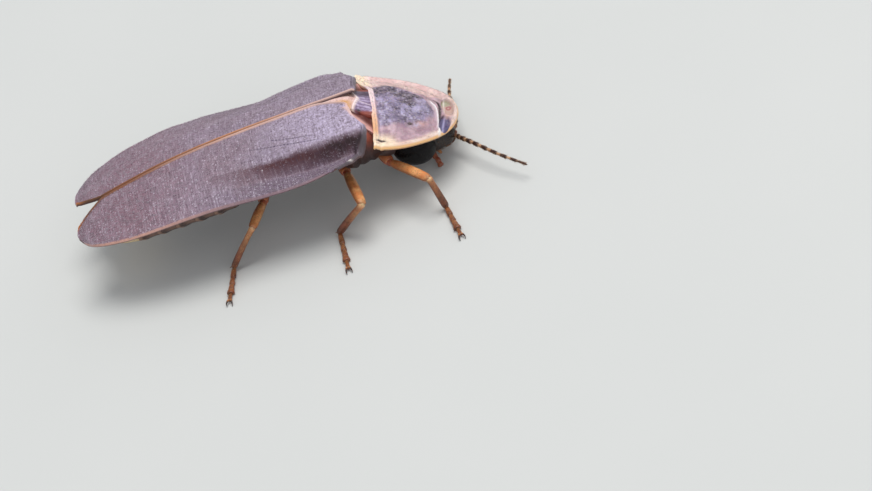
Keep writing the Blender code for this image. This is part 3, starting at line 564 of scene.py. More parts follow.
def shield_finish():
    """Neck shield: cream rims round a disc from violet-grey to pink, and two glassy windows in front."""
    material, tree, shader, place = new_finish("neck_shield", 0.38, 0.5, Subsurface_Weight=0.08,
                                               Subsurface_Scale=0.00006, Coat_Roughness=0.08)
    grain = grained(tree, place, 0.07, 0.06, 0.5)
    blots = grained(tree, place, 0.30, 0.22, 0.2)
    flecks = specks(tree, place, 8.0, 0.42, 0.35)
    glints = specks(tree, place, 9.5, 0.32, 0.25)
    disc, dark, window = (mark(tree, name) for name in ("violet", "dark", "window"))
    pink = drift(tree, place, (206, 174, 186), (158, 124, 140), 3.2, 0.85)
    base = paint(tree, pink, [
        ("rim", 1.0, drift(tree, place, (244, 222, 210), (232, 192, 178), 2.0, 0.7)),
        (disc, 1.0, drift(tree, place, (174, 160, 194), (112, 98, 124), 4.5, 0.9)),
        ("light", 0.6, (196, 188, 222)),
        ("streak", 0.6, (104, 92, 112)),
        ("blush", 0.7, (218, 164, 146)),
        (dark, 0.9, drift(tree, place, (124, 108, 128), (50, 40, 54), 5.0, 0.9)),
        (times(tree, disc, stretch(tree, blots, 0.47, 0.35)), 0.80, (66, 52, 74)),
        (times(tree, disc, stretch(tree, blots, 0.53, 0.65)), 0.75, (208, 198, 228)),
        (times(tree, disc, stretch(tree, grain, 0.47, 0.36)), 0.6, (60, 48, 66)),
        (times(tree, disc, glints), 0.50, (218, 210, 232)),
        (times(tree, dark, flecks), 0.8, (34, 26, 36)),
        (times(tree, disc, flecks), 0.25, (84, 70, 92)),
        ("band", 1.0, drift(tree, place, (244, 214, 208), (216, 176, 176), 3.0, 0.7)),
        ("base_rim", 1.0, mixed(tree, mark(tree, "tan"), (255, 228, 230), (240, 186, 142))),
        ("corner", 1.0, (255, 232, 204)),
        ("edge", 1.0, (244, 192, 132)),
        ("left_window", 1.0, (198, 164, 152)),
        ("green", 0.8, (158, 166, 136)),
        ("stripe", 0.8, (240, 224, 216)),
        ("right_window", 1.0, (80, 72, 112)),
        ("outline", 0.8, (38, 28, 46)),
        ("glint", 0.75, (184, 174, 214)),
        ("red", 0.7, (160, 62, 80)),
        ("keel", 1.0, (236, 192, 180)),
        # the groove in front of the ridge painted near black: painted shade
        ("groove_shade", 1.0, (20, 14, 18)),
        # ridge: near white crest in front of the disc; pale cuticle with a painted highlight along it
        ("ridge", 1.0, (255, 248, 250)),
        ("spot", 1.0, (52, 30, 34)),
        ("under", 1.0, (214, 172, 140)),
    ])
    feed(tree, shader, base, window, (0.0, 1.0, 0.38, 0.14), grain, 0.020, 0.8)
    tree.links.new(times(tree, window, 0.9), shader.inputs["Coat Weight"])
    return material


def scutellum_finish():
    """Scutellum: pinkish cream behind a pale chevron, a violet plate with dark bars, red-brown sides."""
    material, tree, shader, place = new_finish("scutellum", 0.42, 0.5)
    grain = grained(tree, place, 0.07, 0.05, 0.5)
    base = paint(tree, drift(tree, place, (246, 214, 208), (206, 158, 148), 5.0, 0.8), [
        ("gold", 0.95, (206, 148, 72)),
        ("plate", 1.0, drift(tree, place, (190, 172, 204), (112, 84, 122), 5.0, 0.9)),
        ("bar", 0.55, (84, 54, 86)),
        ("shade", 0.75, (52, 32, 44)),
        ("red", 1.0, (142, 64, 50)),
        ("spot", 1.0, (30, 20, 26)),
        ("pale", 1.0, (255, 236, 236)),
        (stretch(tree, grain, 0.47, 0.34), 0.4, (92, 62, 72)),
    ])
    feed(tree, shader, base, grain, (0.2, 0.8, 0.54, 0.32), grain, 0.018, 0.8)
    return material


def hide_finish(name, main, other, dark, roughness, gloss, depth, edge=(190, 148, 126)):
    """Horny body wall: a main colour that drifts to another, dark pits, pale edges and bright marks."""
    material, tree, shader, place = new_finish(name, roughness, gloss)
    grain = grained(tree, place, 0.12, 0.07, 0.5)
    base = paint(tree, drift(tree, place, main, other, 2.4, 0.8), [
        (stretch(tree, grain, 0.48, 0.34), 0.6, dark),
        ("warm", 0.85, (188, 102, 82)),
        ("shade", 0.85, (24, 16, 16)),
        ("pale", 1.0, edge),
        ("glow", 1.0, (236, 222, 176)),
    ])
    feed(tree, shader, base, grain, (0.2, 0.8, roughness + 0.12, roughness - 0.12), grain, depth)
    return material


def leg_finish():
    """Legs: clear orange thighs whose sides are darkened as painted shade, browner shins and feet, reddish
    joints, dark claws.
    """
    material, tree, shader, place = new_finish("leg", 0.36, 0.5, Subsurface_Weight=0.25,
                                               Subsurface_Scale=0.00012)
    grain = grained(tree, place, 0.06, 0.06, 0.4)
    base = paint(tree, drift(tree, place, (240, 176, 116), (206, 124, 72), 3.0, 0.8), [
        # edge: the two sides of each leg tube darkened, painted shade
        ("edge", 0.75, (116, 58, 28)),
        ("tone", 1.0, drift(tree, place, (132, 72, 48), (74, 38, 28), 5.0, 0.85)),
        ("red", 0.85, (176, 76, 66)),
        ("pale", 0.8, (240, 200, 150)),
        ("claw", 1.0, (44, 22, 16)),
        (stretch(tree, grain, 0.48, 0.36), 0.5, (86, 44, 24)),
    ])
    feed(tree, shader, base, grain, (0.2, 0.8, 0.5, 0.26), grain, 0.012)
    return material


def feeler_finish():
    """Feelers: dark brown cones on pale tan joints."""
    material, tree, shader, place = new_finish("feeler", 0.5, 0.4)
    grain = grained(tree, place, 0.04, 0.04, 0.5)
    pale = drift(tree, place, (204, 164, 128), (176, 124, 92), 5.0, 0.8)
    base = paint(tree, pale, [("tone", 1.0, drift(tree, place, (70, 40, 32), (40, 22, 20), 6.0, 0.8))])
    feed(tree, shader, base, grain, (0.2, 0.8, 0.62, 0.38), grain, 0.010)
    return material


def eye_finish():
    """Compound eye: near black and glossy, with a mesh of tiny facets."""
    material, tree, shader, place = new_finish("compound_eye", 0.20, 0.14, Coat_Weight=0.05,
                                               Coat_Roughness=0.06)
    cells = add(tree, "ShaderNodeTexVoronoi", {"Vector": place, "Scale": 22.0, "Randomness": 0.25},
                feature="DISTANCE_TO_EDGE").outputs["Distance"]
    facet = stretch(tree, cells, 0.0, 0.22)
    base = drift(tree, place, mixed(tree, facet, (2, 2, 2), (9, 6, 5)), (16, 12, 16), 2.0, 0.6)
    feed(tree, shader, base, facet, (0.0, 1.0, 0.34, 0.14), facet, 0.006, 0.8)
    return material


def hair_finish(name, root, tip):
    """Fine hairs, a little paler towards the tip."""
    material, tree, shader, place = new_finish(name, 0.55, 0.4)
    base = paint(tree, drift(tree, place, root, tip, 3.0, 0.5), [("tip", 1.0, tip)])
    tree.links.new(base, shader.inputs["Base Color"])
    return material


def floor_finish():
    """Plain pale floor with a faint tooth."""
    material, tree, shader, place = new_finish("floor", 0.85, 0.2)
    tooth = noise(tree, place, 0.09, 4.0)
    tree.links.new(mixed(tree, tooth, (206, 208, 206), (212, 213, 211)), shader.inputs["Base Color"])
    return material


# Wing cases

def case_width(s, side):
    """Width of one wing case at share s of its length, as in the solids, a little narrower behind."""
    swell = np.sin(held(s / FULL_WIDTH_AT) * np.pi / 2.0)
    full = CASE_WIDTH * (SHOULDER_SHARE + (1.0 - SHOULDER_SHARE) * swell)
    closing = held((s - APEX_START) / (1.0 - APEX_START))
    width = APEX_WIDTH + (full - APEX_WIDTH) * np.sqrt(np.maximum(1.0 - closing**APEX_POWER, 0.0))
    return width * through(s, NARROWING_S, NARROWING[side])


def case_height(s, t, side):
    """Height over the floor: a seam line that falls to the rear, less a camber with the shoulder fold."""
    seam = SEAM_HEIGHT - through(s, SEAM_STATIONS, SEAM_FALL)
    drop = through(s, EDGE_STATIONS, EDGE_DROP)
    fold = fall(s, *FOLD_FADE)
    top = np.interp(s, FOLD_S, FOLD_TOP)
    folded = (1.0 - FOLD_SHARE) * t**2 + FOLD_SHARE * rise(t, top - 0.03, FOLD_FOOT + 0.02)
    height = seam - drop * ((1.0 - fold) * t**CAMBER_POWER + fold * folded)
    height = height + fold * (0.06 * rise(t, 0.80, 0.98) - 0.05 * bump(t, FOLD_FOOT, 0.03))
    if side > 0:
        height = height - (0.05 + 0.08 * fall(s, 0.25, 0.7)) * rise(t, 0.25, 0.65)
    return height


def case_grid(s, t, side):
    """x, y and the solid's share of the width for shares s and t of a wing case, and the distances from its
    inner, outer and front edges, the last one measured square to the edge.

    The inner edge follows the seam. It leaves it near the rear, where the cases part, and in front, where it
    bends round the scutellum.
    """
    gape = GAPE[side] * held((CASE_LENGTH * s - GAPE_START) / GAPE_LENGTH) ** 1.25
    notch = NOTCH_DEPTH[side] * held(1.0 - s / NOTCH_SHARE) ** 1.8
    inner = SEAM_SLIT + gape + notch
    outer = CASE_GAP + case_width(s, side)
    y = inner + (outer - inner) * t
    before, front, after = (through(y + step, FRONT_Y, FRONT_X[side]) for step in (-0.05, 0.0, 0.05))
    from_lip = CASE_LENGTH * s / np.sqrt(1.0 + ((after - before) / 0.1) ** 2)
    x = -CASE_LENGTH * s + front * (1.0 - s) ** 4
    return x, y, held((y - CASE_GAP) / (outer - CASE_GAP)), y - inner, outer - y, from_lip


def hinge_ridge(x, y):
    """Low ridge at the root of a wing case: a bell curve of the distance from a slanted line."""
    return bump(x + 0.34 - 0.75 * (y - 0.75), 0.0, 0.07) * rise(y, 0.50, 0.70) * fall(y, 1.15, 1.40)


def case_top(s, t, side):
    """Point grid of a wing case's upper face, in millimetres.

    The solid's camber carries a rolled bead along the inner edge, three low veins, a fine lip at the outer
    edge, a rounded front edge with a hinge ridge, and slow random swells.
    """
    x, y, share, from_seam, from_rim, from_lip = case_grid(s, t, side)
    x = x + (0.10 * held(1.0 - 2.0 * t) ** 2 + 0.12 * held(2.5 * t - 1.5) ** 2) * s**14
    from_front, from_end = CASE_LENGTH * s, CASE_LENGTH * (1.0 - s)
    z = case_height(s, share, side)
    z = z + 0.055 * bump(from_seam, 0.045, 0.030)
    z = z - 0.030 * bump(from_seam, 0.0, 0.012) - 0.010 * bump(from_seam, 0.11, 0.03)
    for line in COSTAE:
        z = z + 0.020 * bump(share, line, 0.016) * rise(s, 0.02, 0.10) * fall(s, 0.78, 0.93)
    z = z + (0.022 * bump(from_rim, 0.05, 0.035) - 0.016 * bump(from_rim, 0.0, 0.014)) * rise(s, 0.03, 0.12)
    middle = rise(share, 0.30, 0.62) * fall(share, 0.74, 0.90)
    z = z - 0.15 * fall(from_front, 0.0, 0.32) ** 2 * middle - 0.05 * fall(from_front, 0.0, 0.10) ** 2
    z = z + (0.025 * bump(from_lip, 0.05, 0.030) - 0.030 * bump(from_lip, 0.11, 0.030)) * rise(y, 1.1, 1.5)
    if side > 0.0:
        z = z - 0.14 * rise(x, -0.95, -0.38) * rise(y, 1.0, 1.6)
        z = z - 0.14 * rise(x, -0.35, 0.05) * rise(y, 0.5, 1.2)
    z = z + 0.02 * bump(from_end, 0.05, 0.04) - 0.02 * bump(from_end, 0.0, 0.02) + 0.05 * hinge_ridge(x, y)
    z = z + 0.014 * hills(x * 1.3 + 40.0, y * 1.9 + 40.0 * side, SEED) * rise(t, 0.05, 0.2)
    z = z + 0.004 * hills(x * 5.0 + 90.0, y * 4.0 + 90.0 * side, SEED + 1)
    return np.stack([x, side * y, z], axis=-1)


def case_marks(s, t, side):
    """Where the wing case changes colour: numbers from 0 to 1 over its shares of length and width."""
    x, y, share, from_seam, from_rim, from_lip = case_grid(s, t, side)
    from_front, from_end = CASE_LENGTH * s, CASE_LENGTH * (1.0 - s)
    top = np.interp(s, FOLD_S, FOLD_TOP)
    ragged = 0.012 * hills(x * 7.0 + 60.0, y * 14.0, SEED + 12)
    lines = 0.0
    for place, start, slope, first, last in DARK_LINES:
        within = rise(s, first, first + 0.02) * fall(s, last - 0.02, last)
        lines = lines + 1.4 * bump(share, place - slope * (s - start), 0.009) * within
    # the fold's dark band: partly the case's own colour, partly painted shade
    fold = rise(share + ragged, top - 0.02, top + 0.03)
    fold = fold * fall(share + ragged, FOLD_FOOT - 0.02, FOLD_FOOT + 0.05)
    fold = fold * fall(s, 0.30, 0.58) * (1.0 - 0.40 * rise(share, top + 0.03, FOLD_FOOT))
    lip_side = rise(y, 1.35, 1.60) if side < 0.0 else rise(y, 0.15, 0.35)
    root = hinge_ridge(x, y) + fall(from_front, 0.03, 0.14) * fall(y, 0.8, 1.3)
    return {
        # painted shade in the slit of the seam
        "slit": bump(from_seam, 0.0, 0.016),
        "bead": rise(from_seam, 0.0, 0.014) * fall(from_seam, 0.070, 0.095),
        "rim": fall(from_rim, 0.030, 0.060) * rise(s, 0.05, 0.10),
        # painted shade on the front lip and in the groove behind it
        "lip": fall(from_lip, 0.04, 0.08) * lip_side,
        "crease_shade": bump(from_lip, 0.10, 0.028) * lip_side * rise(from_lip, 0.04, 0.07),
        "white": bump(from_lip, 0.04, 0.035) * bump(share, 0.935, 0.010),
        # margin below the fold, painted darker as shade
        "margin": rise(share, FOLD_FOOT, FOLD_FOOT + 0.04) * fall(s, 0.30, 0.60),
        "fold": fold,
        # painted shade in the hollow under the fold's top edge
        "fold_hollow_shade": fold * fall(s, 0.08, 0.24) * bump(share + 2.0 * ragged, top + 0.040, 0.040),
        "line": held(lines * (0.60 + 0.40 * np.sin(x * 62.0))),
        # front part above the fold, where the painted sheen lies
        "front": fall(s, 0.08, 0.42) * fall(share, top - 0.06, top),
        "rear": rise(s, 0.35, 0.85),
        "root": held(root * (0.5 - 0.5 * side)),
        "tip": fall(from_end, 0.06, 0.40) * fall(from_seam, 0.05, 0.16),
        "gape": rise(from_front, GAPE_START - 0.5, GAPE_START + 0.2) * fall(from_seam, 0.04, 0.09),
        "left": 0.5 + 0.5 * side,
    }


def wing_case(side_name, side, finish):
    """One wing case as a thin closed plate over a grid of shares of length and width."""
    s, t = np.meshgrid(crowded(CASE_ROWS, 0.50), crowded(CASE_COLUMNS, 0.80), indexing="ij")
    thickness = CASE_THICKNESS * (0.35 + 0.65 * np.minimum(rise(t, 0.0, 0.05), fall(t, 0.90, 1.0)))
    surface = plate(case_top(s, t, side), thickness[..., None] * UPWARD, case_marks(s, t, side))
    make_piece("wing_case_" + side_name, surface, finish, "elytron", ("elytron_" + side_name,))


# Hairs

def hair_piece(name, finish, slot, roots, lie, normals, lengths, radius, lift, patch):
    """Joined hairs, each a three-sided spike: a ring at the root, a ring half way and a tip.

    A hair starts along its lie raised by the angle lift, in degrees, and its tip is raised by 0.6 of it. Its
    seven points lie in a patch 0.003 across of the OFBake map, at the two shares in patch.
    """
    count = len(roots)
    lift = math.radians(lift)
    normals = unit(normals)
    lie = unit(lie - np.sum(lie * normals, axis=1, keepdims=True) * normals)
    aside = np.cross(normals, lie)
    lengths = lengths[:, None]
    middle = roots + 0.55 * lengths * (lie * math.cos(lift) + normals * math.sin(lift))
    tip = roots + lengths * (lie * math.cos(0.6 * lift) + normals * math.sin(0.6 * lift))
    angle = (2.0 * np.pi * np.arange(3) / 3.0)[None, :, None]
    circle = radius * (np.cos(angle) * aside[:, None, :] + np.sin(angle) * normals[:, None, :])
    sunk = roots - 0.6 * radius * normals
    parts = [sunk[:, None, :] + circle, middle[:, None, :] + 0.72 * circle, tip[:, None, :]]
    points = np.concatenate(parts, axis=1).reshape(-1, 3)
    points[:, 2] = np.maximum(points[:, 2], 0.0)
    start = 7 * np.arange(count)[:, None]
    round_ring = ((0, 1), (1, 2), (2, 0))
    quads = np.vstack([start + (a, b, 3 + b, 3 + a) for a, b in round_ring])
    ends = np.vstack([start + (3 + a, 3 + b, 6) for a, b in round_ring] + [start + (2, 1, 0)])
    marks = {"tip": np.tile([0.0, 0.0, 0.0, 0.5, 0.5, 0.5, 1.0], count)}
    ring = 0.0015 * np.array([[-1, -1], [1, -1], [0, -1], [-1, 0], [1, 0], [0, 0], [0, 1]], dtype=float)
    places = (0.01 + 0.98 * np.stack(patch, axis=-1))[:, None, :] + ring
    make_piece(name, (points, [quads, ends], marks), finish, slot, bake_uv=places.reshape(-1, 2))


def case_hairs(side_name, side, count, finish):
    """Short hairs that lie back over a wing case, rooted at random shares of its length and width."""
    rng = np.random.default_rng(SEED + 10 + int(side))
    s, t = rng.uniform(0.015, 0.985, count), rng.uniform(0.03, 0.985, count)
    bare = case_marks(s, t, side)["fold"] * 0.85 > rng.uniform(0.0, 1.0, count)
    s, t = s[~bare], t[~bare]
    step = 0.002
    here = case_top(s, t, side)
    back = case_top(s + step, t, side) - here
    out = case_top(s, np.minimum(t + step, 1.0), side) - here
    normals = unit(np.cross(back, out))
    normals *= np.sign(normals[:, 2:])
    lie = unit(back) + unit(out) * rng.uniform(-0.1, 0.45, (len(s), 1))
    lengths = rng.uniform(0.05, 0.10, len(s))
    hair_piece("case_hairs_" + side_name, finish, "elytron", here, lie, normals, lengths,
               FINE_HAIR, 22.0, (s, t))


# Neck shield

def shield_outline(x):
    """Half width of the shield at distance x from its base."""
    return SHIELD_HALF_WIDTH * np.sqrt(np.maximum(1.0 - (x / SHIELD_LENGTH) ** SHIELD_POWER, 0.0))


def base_line(y):
    """How far forward the shield's hind edge lies; its left corner reaches back in a rounded lobe."""
    return through(y, BASE_Y, BASE_X)


def shield_grid(u, v):
    """Place in the shield's plane and distance from its free edge, for shares u along and v across it."""
    x_side = SHIELD_SIDES_END * u
    half_width = shield_outline(x_side)
    nose_length = SHIELD_LENGTH - SHIELD_SIDES_END
    x = x_side + nose_length * (1.0 - v**2) * u**NOSE_POWER
    narrower = np.where(v > 0.0, 0.04 + 0.08 * rise(x_side, 1.3, 2.3), 0.058 * bump(x_side, 1.60, 0.95))
    y = half_width * v * (1.0 - narrower)
    nose = SHIELD_SIDES_END + nose_length * (1.0 - held(np.abs(y) / shield_outline(SHIELD_SIDES_END)) ** 2)
    slope = np.abs(np.gradient(half_width, axis=0) / np.maximum(np.gradient(x_side, axis=0), 1e-9))
    side_distance = (1.0 - np.abs(v)) * half_width / np.sqrt(1.0 + slope**2)
    edge = np.minimum(side_distance, np.maximum(nose - x, 0.0))
    return x + base_line(y) * (1.0 - u) ** 6, y, edge


def bow(y, front, middle, left, right):
    """Two half bows that meet at the foremost point: its place less a steepness times a squared distance."""
    return front - left * np.maximum(y - middle, 0.0) ** 2 - right * np.minimum(y - middle, 0.0) ** 2


def ridge_line(y):
    """Distance of the front ridge along the shield."""
    return bow(y, RIDGE_X, RIDGE_Y, 0.9, 0.08)


def arc_line(y):
    """Distance of the groove along the shield; the groove is painted near black as shade."""
    return bow(y, ARC_X, ARC_Y, 3.5, 0.24)


def window_share(x, y, window):
    """1 inside one of the two oval windows at the front of the shield, 0 outside, with a soft edge."""
    middle_x, middle_y, half_length, half_width, slant = window
    oval = ((x - middle_x - slant * (y - middle_y)) / half_length) ** 2 + ((y - middle_y) / half_width) ** 2
    return fall(oval, 0.70, 1.15)


def disc_side(x):
    """Where the disc ends on the left: it narrows towards the front."""
    return 0.82 - 0.42 * rise(x, 0.95, 1.75)


def shield_top(x, y, edge):
    """Height over the shield's plane: camber, rolled rims, raised disc with a furrow, ridge and windows."""
    from_base = x - base_line(y)
    z = -np.where(y < 0.0, NEAR_CAMBER, SHIELD_CAMBER) * (y / SHIELD_HALF_WIDTH) ** 2
    z = z + 0.05 * bump(edge, 0.10, 0.09) - 0.03 * bump(edge, 0.0, 0.03) - 0.045 * bump(edge, 0.34, 0.12)
    z = z + 0.035 * bump(from_base, 0.06, 0.05) + 0.015 * bump(from_base, 0.15, 0.03)
    z = z - 0.025 * bump(from_base, 0.24, 0.05)
    disc = 0.12 * rise(y, -1.45, -1.0) * fall(y, disc_side(x) - 0.05, disc_side(x) + 0.25)
    z = z + disc * rise(x, 0.25, 0.7) * fall(x, 1.65, 1.95) - 0.05 * bump(y, 0.0, 0.09) * bump(x, 1.0, 0.7)
    z = z - 0.035 * (bump(y, -0.62, 0.28) + bump(y, 0.50, 0.24)) * bump(x, 1.15, 0.4)
    z = z + 0.09 * bump(x, ridge_line(y), 0.045) * rise(edge, 0.03, 0.20) * fall(y, 0.05, 0.30)
    z = z - 0.07 * bump(x, arc_line(y), 0.04) * rise(y, -0.90, -0.60) * fall(y, 0.28, 0.40)
    swell = 0.012 * hills(x * 3.0 + 20.0, y * 3.0 + 20.0, SEED + 2)
    swell = swell + 0.008 * hills(x * 9.0 + 50.0, y * 9.0 + 50.0, SEED + 3)
    z = z + 0.05 * bump(y, KEEL_Y, 0.04) * bump(x, 2.40, 0.16) + swell * rise(edge, 0.03, 0.2)
    return z - 0.09 * (window_share(x, y, WINDOWS[0]) + window_share(x, y, WINDOWS[1]))


def shield_marks(x, y, edge):
    """Where the shield changes colour."""
    ragged = 0.07 * hills(x * 6.0, y * 6.0 + 30.0, SEED + 4)
    ragged = ragged + 0.04 * hills(x * 15.0, y * 15.0 + 70.0, SEED + 13)
    from_base = x - base_line(y)
    disc_front = ridge_line(y) - 0.05
    along = rise(from_base + ragged, 0.14, 0.24) * fall(x + 0.5 * ragged, disc_front - 0.10, disc_front)
    left = disc_side(x)
    pink_side = -1.05 + 0.50 * rise(x, 1.3, 1.9)
    dark_side = 0.36 - 0.50 * bump(x, 1.25, 0.35)
    right_window, left_window = (window_share(x, y, window) for window in WINDOWS)
    middle_x, middle_y, _, _, slant = WINDOWS[0]
    glint = bump(x - middle_x - slant * (y - middle_y), -0.02, 0.035)
    # painted shade in the groove in front of the ridge
    groove_shade = bump(x, arc_line(y), 0.040) * rise(y, -0.85, -0.55) * fall(y, 0.30, 0.37)
    spots = bump(x, 1.19, 0.05) * bump(y, -0.19, 0.06) + bump(x, 1.08, 0.07) * bump(y, -1.04, 0.05)
    return {
        "violet": along * rise(y + ragged, pink_side - 0.15, pink_side + 0.15)
                  * fall(y + 0.5 * ragged, left - 0.06, left + 0.04),
        "dark": along * rise(y + ragged, dark_side - 0.12, dark_side + 0.12)
                * fall(y + 0.5 * ragged, left - 0.02, left + 0.06),
        "light": bump(x, 1.35, 0.50) * bump(y, -0.38, 0.20),
        "streak": bump(y + 0.3 * ragged, -0.80, 0.07) * rise(x, 0.3, 0.4) * fall(x, 1.0, 1.2),
        "blush": bump(x, 1.40, 0.16) * bump(y, -1.0, 0.10),
        "band": rise(y + 0.3 * ragged, left, left + 0.10) * (1.0 - left_window),
        "rim": np.maximum(fall(edge, 0.09, 0.30), rise(-y, 1.46, 1.66) * fall(x, 0.5, 0.9)),
        "corner": rise(-y, 1.30, 1.60) * fall(x, 0.30, 0.80) + rise(y, 0.75, 1.0) * fall(x, 0.10, 0.35),
        "base_rim": fall(from_base, 0.12, 0.19) * fall(y, 0.70, 0.90),
        "tan": rise(-y, -0.1, 1.1),
        "edge": fall(edge, 0.015, 0.06),
        # crest of the front ridge: pale cuticle and a painted highlight
        "ridge": bump(x, ridge_line(y), 0.042) * rise(y, -1.40, -1.25) * fall(y, 0.0, 0.22),
        "right_window": right_window,
        "left_window": left_window,
        "window": held(right_window + left_window),
        "glint": glint * right_window,
        "outline": right_window * (1.0 - right_window) * 4.0 * fall(x, 2.24, 2.34),
        "green": left_window * rise(y, 0.10, 0.28),
        "stripe": left_window * bump(x - 0.15 * y, 2.36, 0.025),
        "groove_shade": held(1.2 * groove_shade),
        "keel": bump(y, KEEL_Y, 0.05) * bump(x, 2.40, 0.14),
        "spot": held(1.6 * spots + 2.0 * bump(x, 0.14, 0.12) * bump(y + 0.12 * x, -1.61, 0.045)),
        "red": held(1.5 * bump(np.hypot(x - 2.51, 0.8 * (y - 0.06)), 0.055, 0.022)),
    }


def neck_shield(finish):
    """The shield as a closed plate over shares along and across it; its base edge stands upright."""
    u, v = np.meshgrid(crowded(SHIELD_STEPS, 0.45), 2.0 * crowded(SHIELD_STEPS, 0.6) - 1.0, indexing="ij")
    x, y, edge = shield_grid(u, v)
    upright = math.tan(SHIELD_TURN[1]) * fall(x, 0.0, SHIELD_LENGTH / 3.0)
    thickness = SHIELD_THICKNESS * (0.25 + 0.75 * rise(edge, 0.0, 0.5))
    top = np.stack([x, y, shield_top(x, y, edge)], axis=-1)
    lowered = np.stack([-thickness * upright, 0.0 * y, thickness], axis=-1)
    surface = plate(top, lowered, shield_marks(x, y, edge))
    make_piece("neck_shield", surface, finish, "pronotum", ("pronotum",), tilted=True)


def shield_hairs(count, finish):
    """Hairs over the disc and rims, but not on the windows, that lie towards the rear."""
    rng = np.random.default_rng(SEED + 20)
    u, v = crowded(SHIELD_STEPS, 0.0), 2.0 * crowded(SHIELD_STEPS, 0.0) - 1.0
    x, y, edge = shield_grid(*np.meshgrid(u, v, indexing="ij"))
    top = from_front(np.stack([x, y, shield_top(x, y, edge)], axis=-1))
    normals = unit(np.cross(np.gradient(top, axis=0), np.gradient(top, axis=1)))
    i, j = rng.integers(4, SHIELD_STEPS - 4, count), rng.integers(4, SHIELD_STEPS - 4, count)
    kept = (window_share(x, y, WINDOWS[0]) + window_share(x, y, WINDOWS[1]))[i, j] < 0.2
    i, j = i[kept], j[kept]
    lie = shield_frame() @ (-1.0, 0.0, 0.0) + rng.normal(0.0, 0.25, (len(i), 3))
    lengths = rng.uniform(0.05, 0.09, len(i))
    hair_piece("shield_hairs", finish, "pronotum", top[i, j], lie, normals[i, j], lengths,
               FINE_HAIR, 30.0, (u[i], 0.5 + 0.5 * v[j]))


# Scutellum

def scutellum(finish):
    """Triangle between the wing cases and the plate in front of it, parted by a raised chevron.

    Its half width and its crest are smooth curves of the place along it; it falls to both sides, and the
    chevron is a bell curve of the distance from two slanted lines.
    """
    u, v = np.meshgrid(np.linspace(0.0, 1.0, 120), np.linspace(-1.0, 1.0, 120), indexing="ij")
    behind = 1.46 * u - 0.34
    half_width = through(behind, (-0.34, -0.05, 0.12, 0.36, 0.58, 0.85, 1.12),
                         (0.66, 0.60, 0.52, 0.44, 0.31, 0.17, 0.05))
    crest = through(behind, (-0.34, -0.10, 0.10, 0.30, 0.60, 1.12), (2.80, 2.93, 3.06, 3.17, 3.23, 3.24))
    x, y = -behind, half_width * v
    slanted = x + 0.01 + 0.47 * (np.abs(y) - 0.05)
    chevron = bump(slanted, 0.0, 0.045)
    z = crest - 0.12 * v**2 + 0.05 * chevron + 0.02 * bump(y, 0.0, 0.05) * (slanted < 0.0)
    z = z + 0.006 * hills(u * 18.0, v * 7.0 + 9.0, SEED + 5)
    ahead = rise(slanted, 0.02, 0.06)
    marks = {
        "plate": ahead,
        "bar": ahead * (0.5 + 0.5 * np.sin(y * 46.0 + 9.0 * x)) ** 2,
        "red": ahead * rise(np.abs(y), 0.46, 0.56),
        "spot": ahead * bump(x, -0.05, 0.06) * bump(np.abs(y), 0.50, 0.06),
        "pale": held(chevron * (0.6 + 0.4 * bump(y, -0.2, 0.3))
                     + 0.5 * bump(y + 0.5 * x, -0.10, 0.02) * ahead),
        "shade": held(rise(y, 0.02, 0.25) * ahead + (1.0 - ahead) * rise(y, 0.10, 0.3)),
        "gold": (1.0 - ahead) * bump(x, -0.40, 0.22) * rise(np.abs(v), 0.10, 0.45),
    }
    surface = plate(np.stack([x, y, z], axis=-1), 0.35 * UPWARD, marks)
    make_piece("scutellum_plate", surface, finish, "scutellum", ("scutellum",))


# Body

def body_ring(station, sides, lower_power, upper_power=2.4):
    """Rounded outline across the body: a superellipse with its own power for the upper and lower half."""
    x, half_width, top, bottom, lean = station
    angle = 2.0 * np.pi * np.arange(sides) / sides
    power = np.where(np.sin(angle) < 0.0, lower_power, upper_power)
    across, upward = (np.sign(way) * np.abs(way) ** (2.0 / power) for way in (np.cos(angle), np.sin(angle)))
    half_height = (top - bottom) / 2.0
    return np.column_stack([x + lean * half_height * upward, half_width * across,
                            (top + bottom) / 2.0 + half_height * upward])


def outward_ways(rings):
    """Ways from the middle of each ring to its points."""
    return unit(rings - rings.mean(axis=1, keepdims=True))


def body_part(name, stations, rows, sides, powers, rounding, relief, finish, slot, **about):
    """Body part from rings that are read from a smooth curve through the stations.

    A station is x, half width, top, bottom and lean. The first and last rings are drawn in as a quarter
    circle, over a share called rounding. relief works out the height over the rings and the marks. Gives the
    rings and the ways outward.
    """
    rings = np.stack([body_ring(station, sides, *powers) for station in spline(stations, rows)])
    place = np.linspace(0.0, 1.0, rows)
    from_end = held(np.minimum(place, 1.0 - place) / rounding)
    scale = np.sqrt(np.maximum(1.0 - (1.0 - from_end) ** 2, 0.02))
    middle = rings.mean(axis=1, keepdims=True)
    rings = middle + (rings - middle) * scale[:, None, None]
    ways = outward_ways(rings)
    height, marks = relief(*np.moveaxis(rings, -1, 0), ways)
    rings = rings + height[..., None] * ways
    make_piece(name, stack(rings, marks), finish, slot, **about)
    return rings, ways


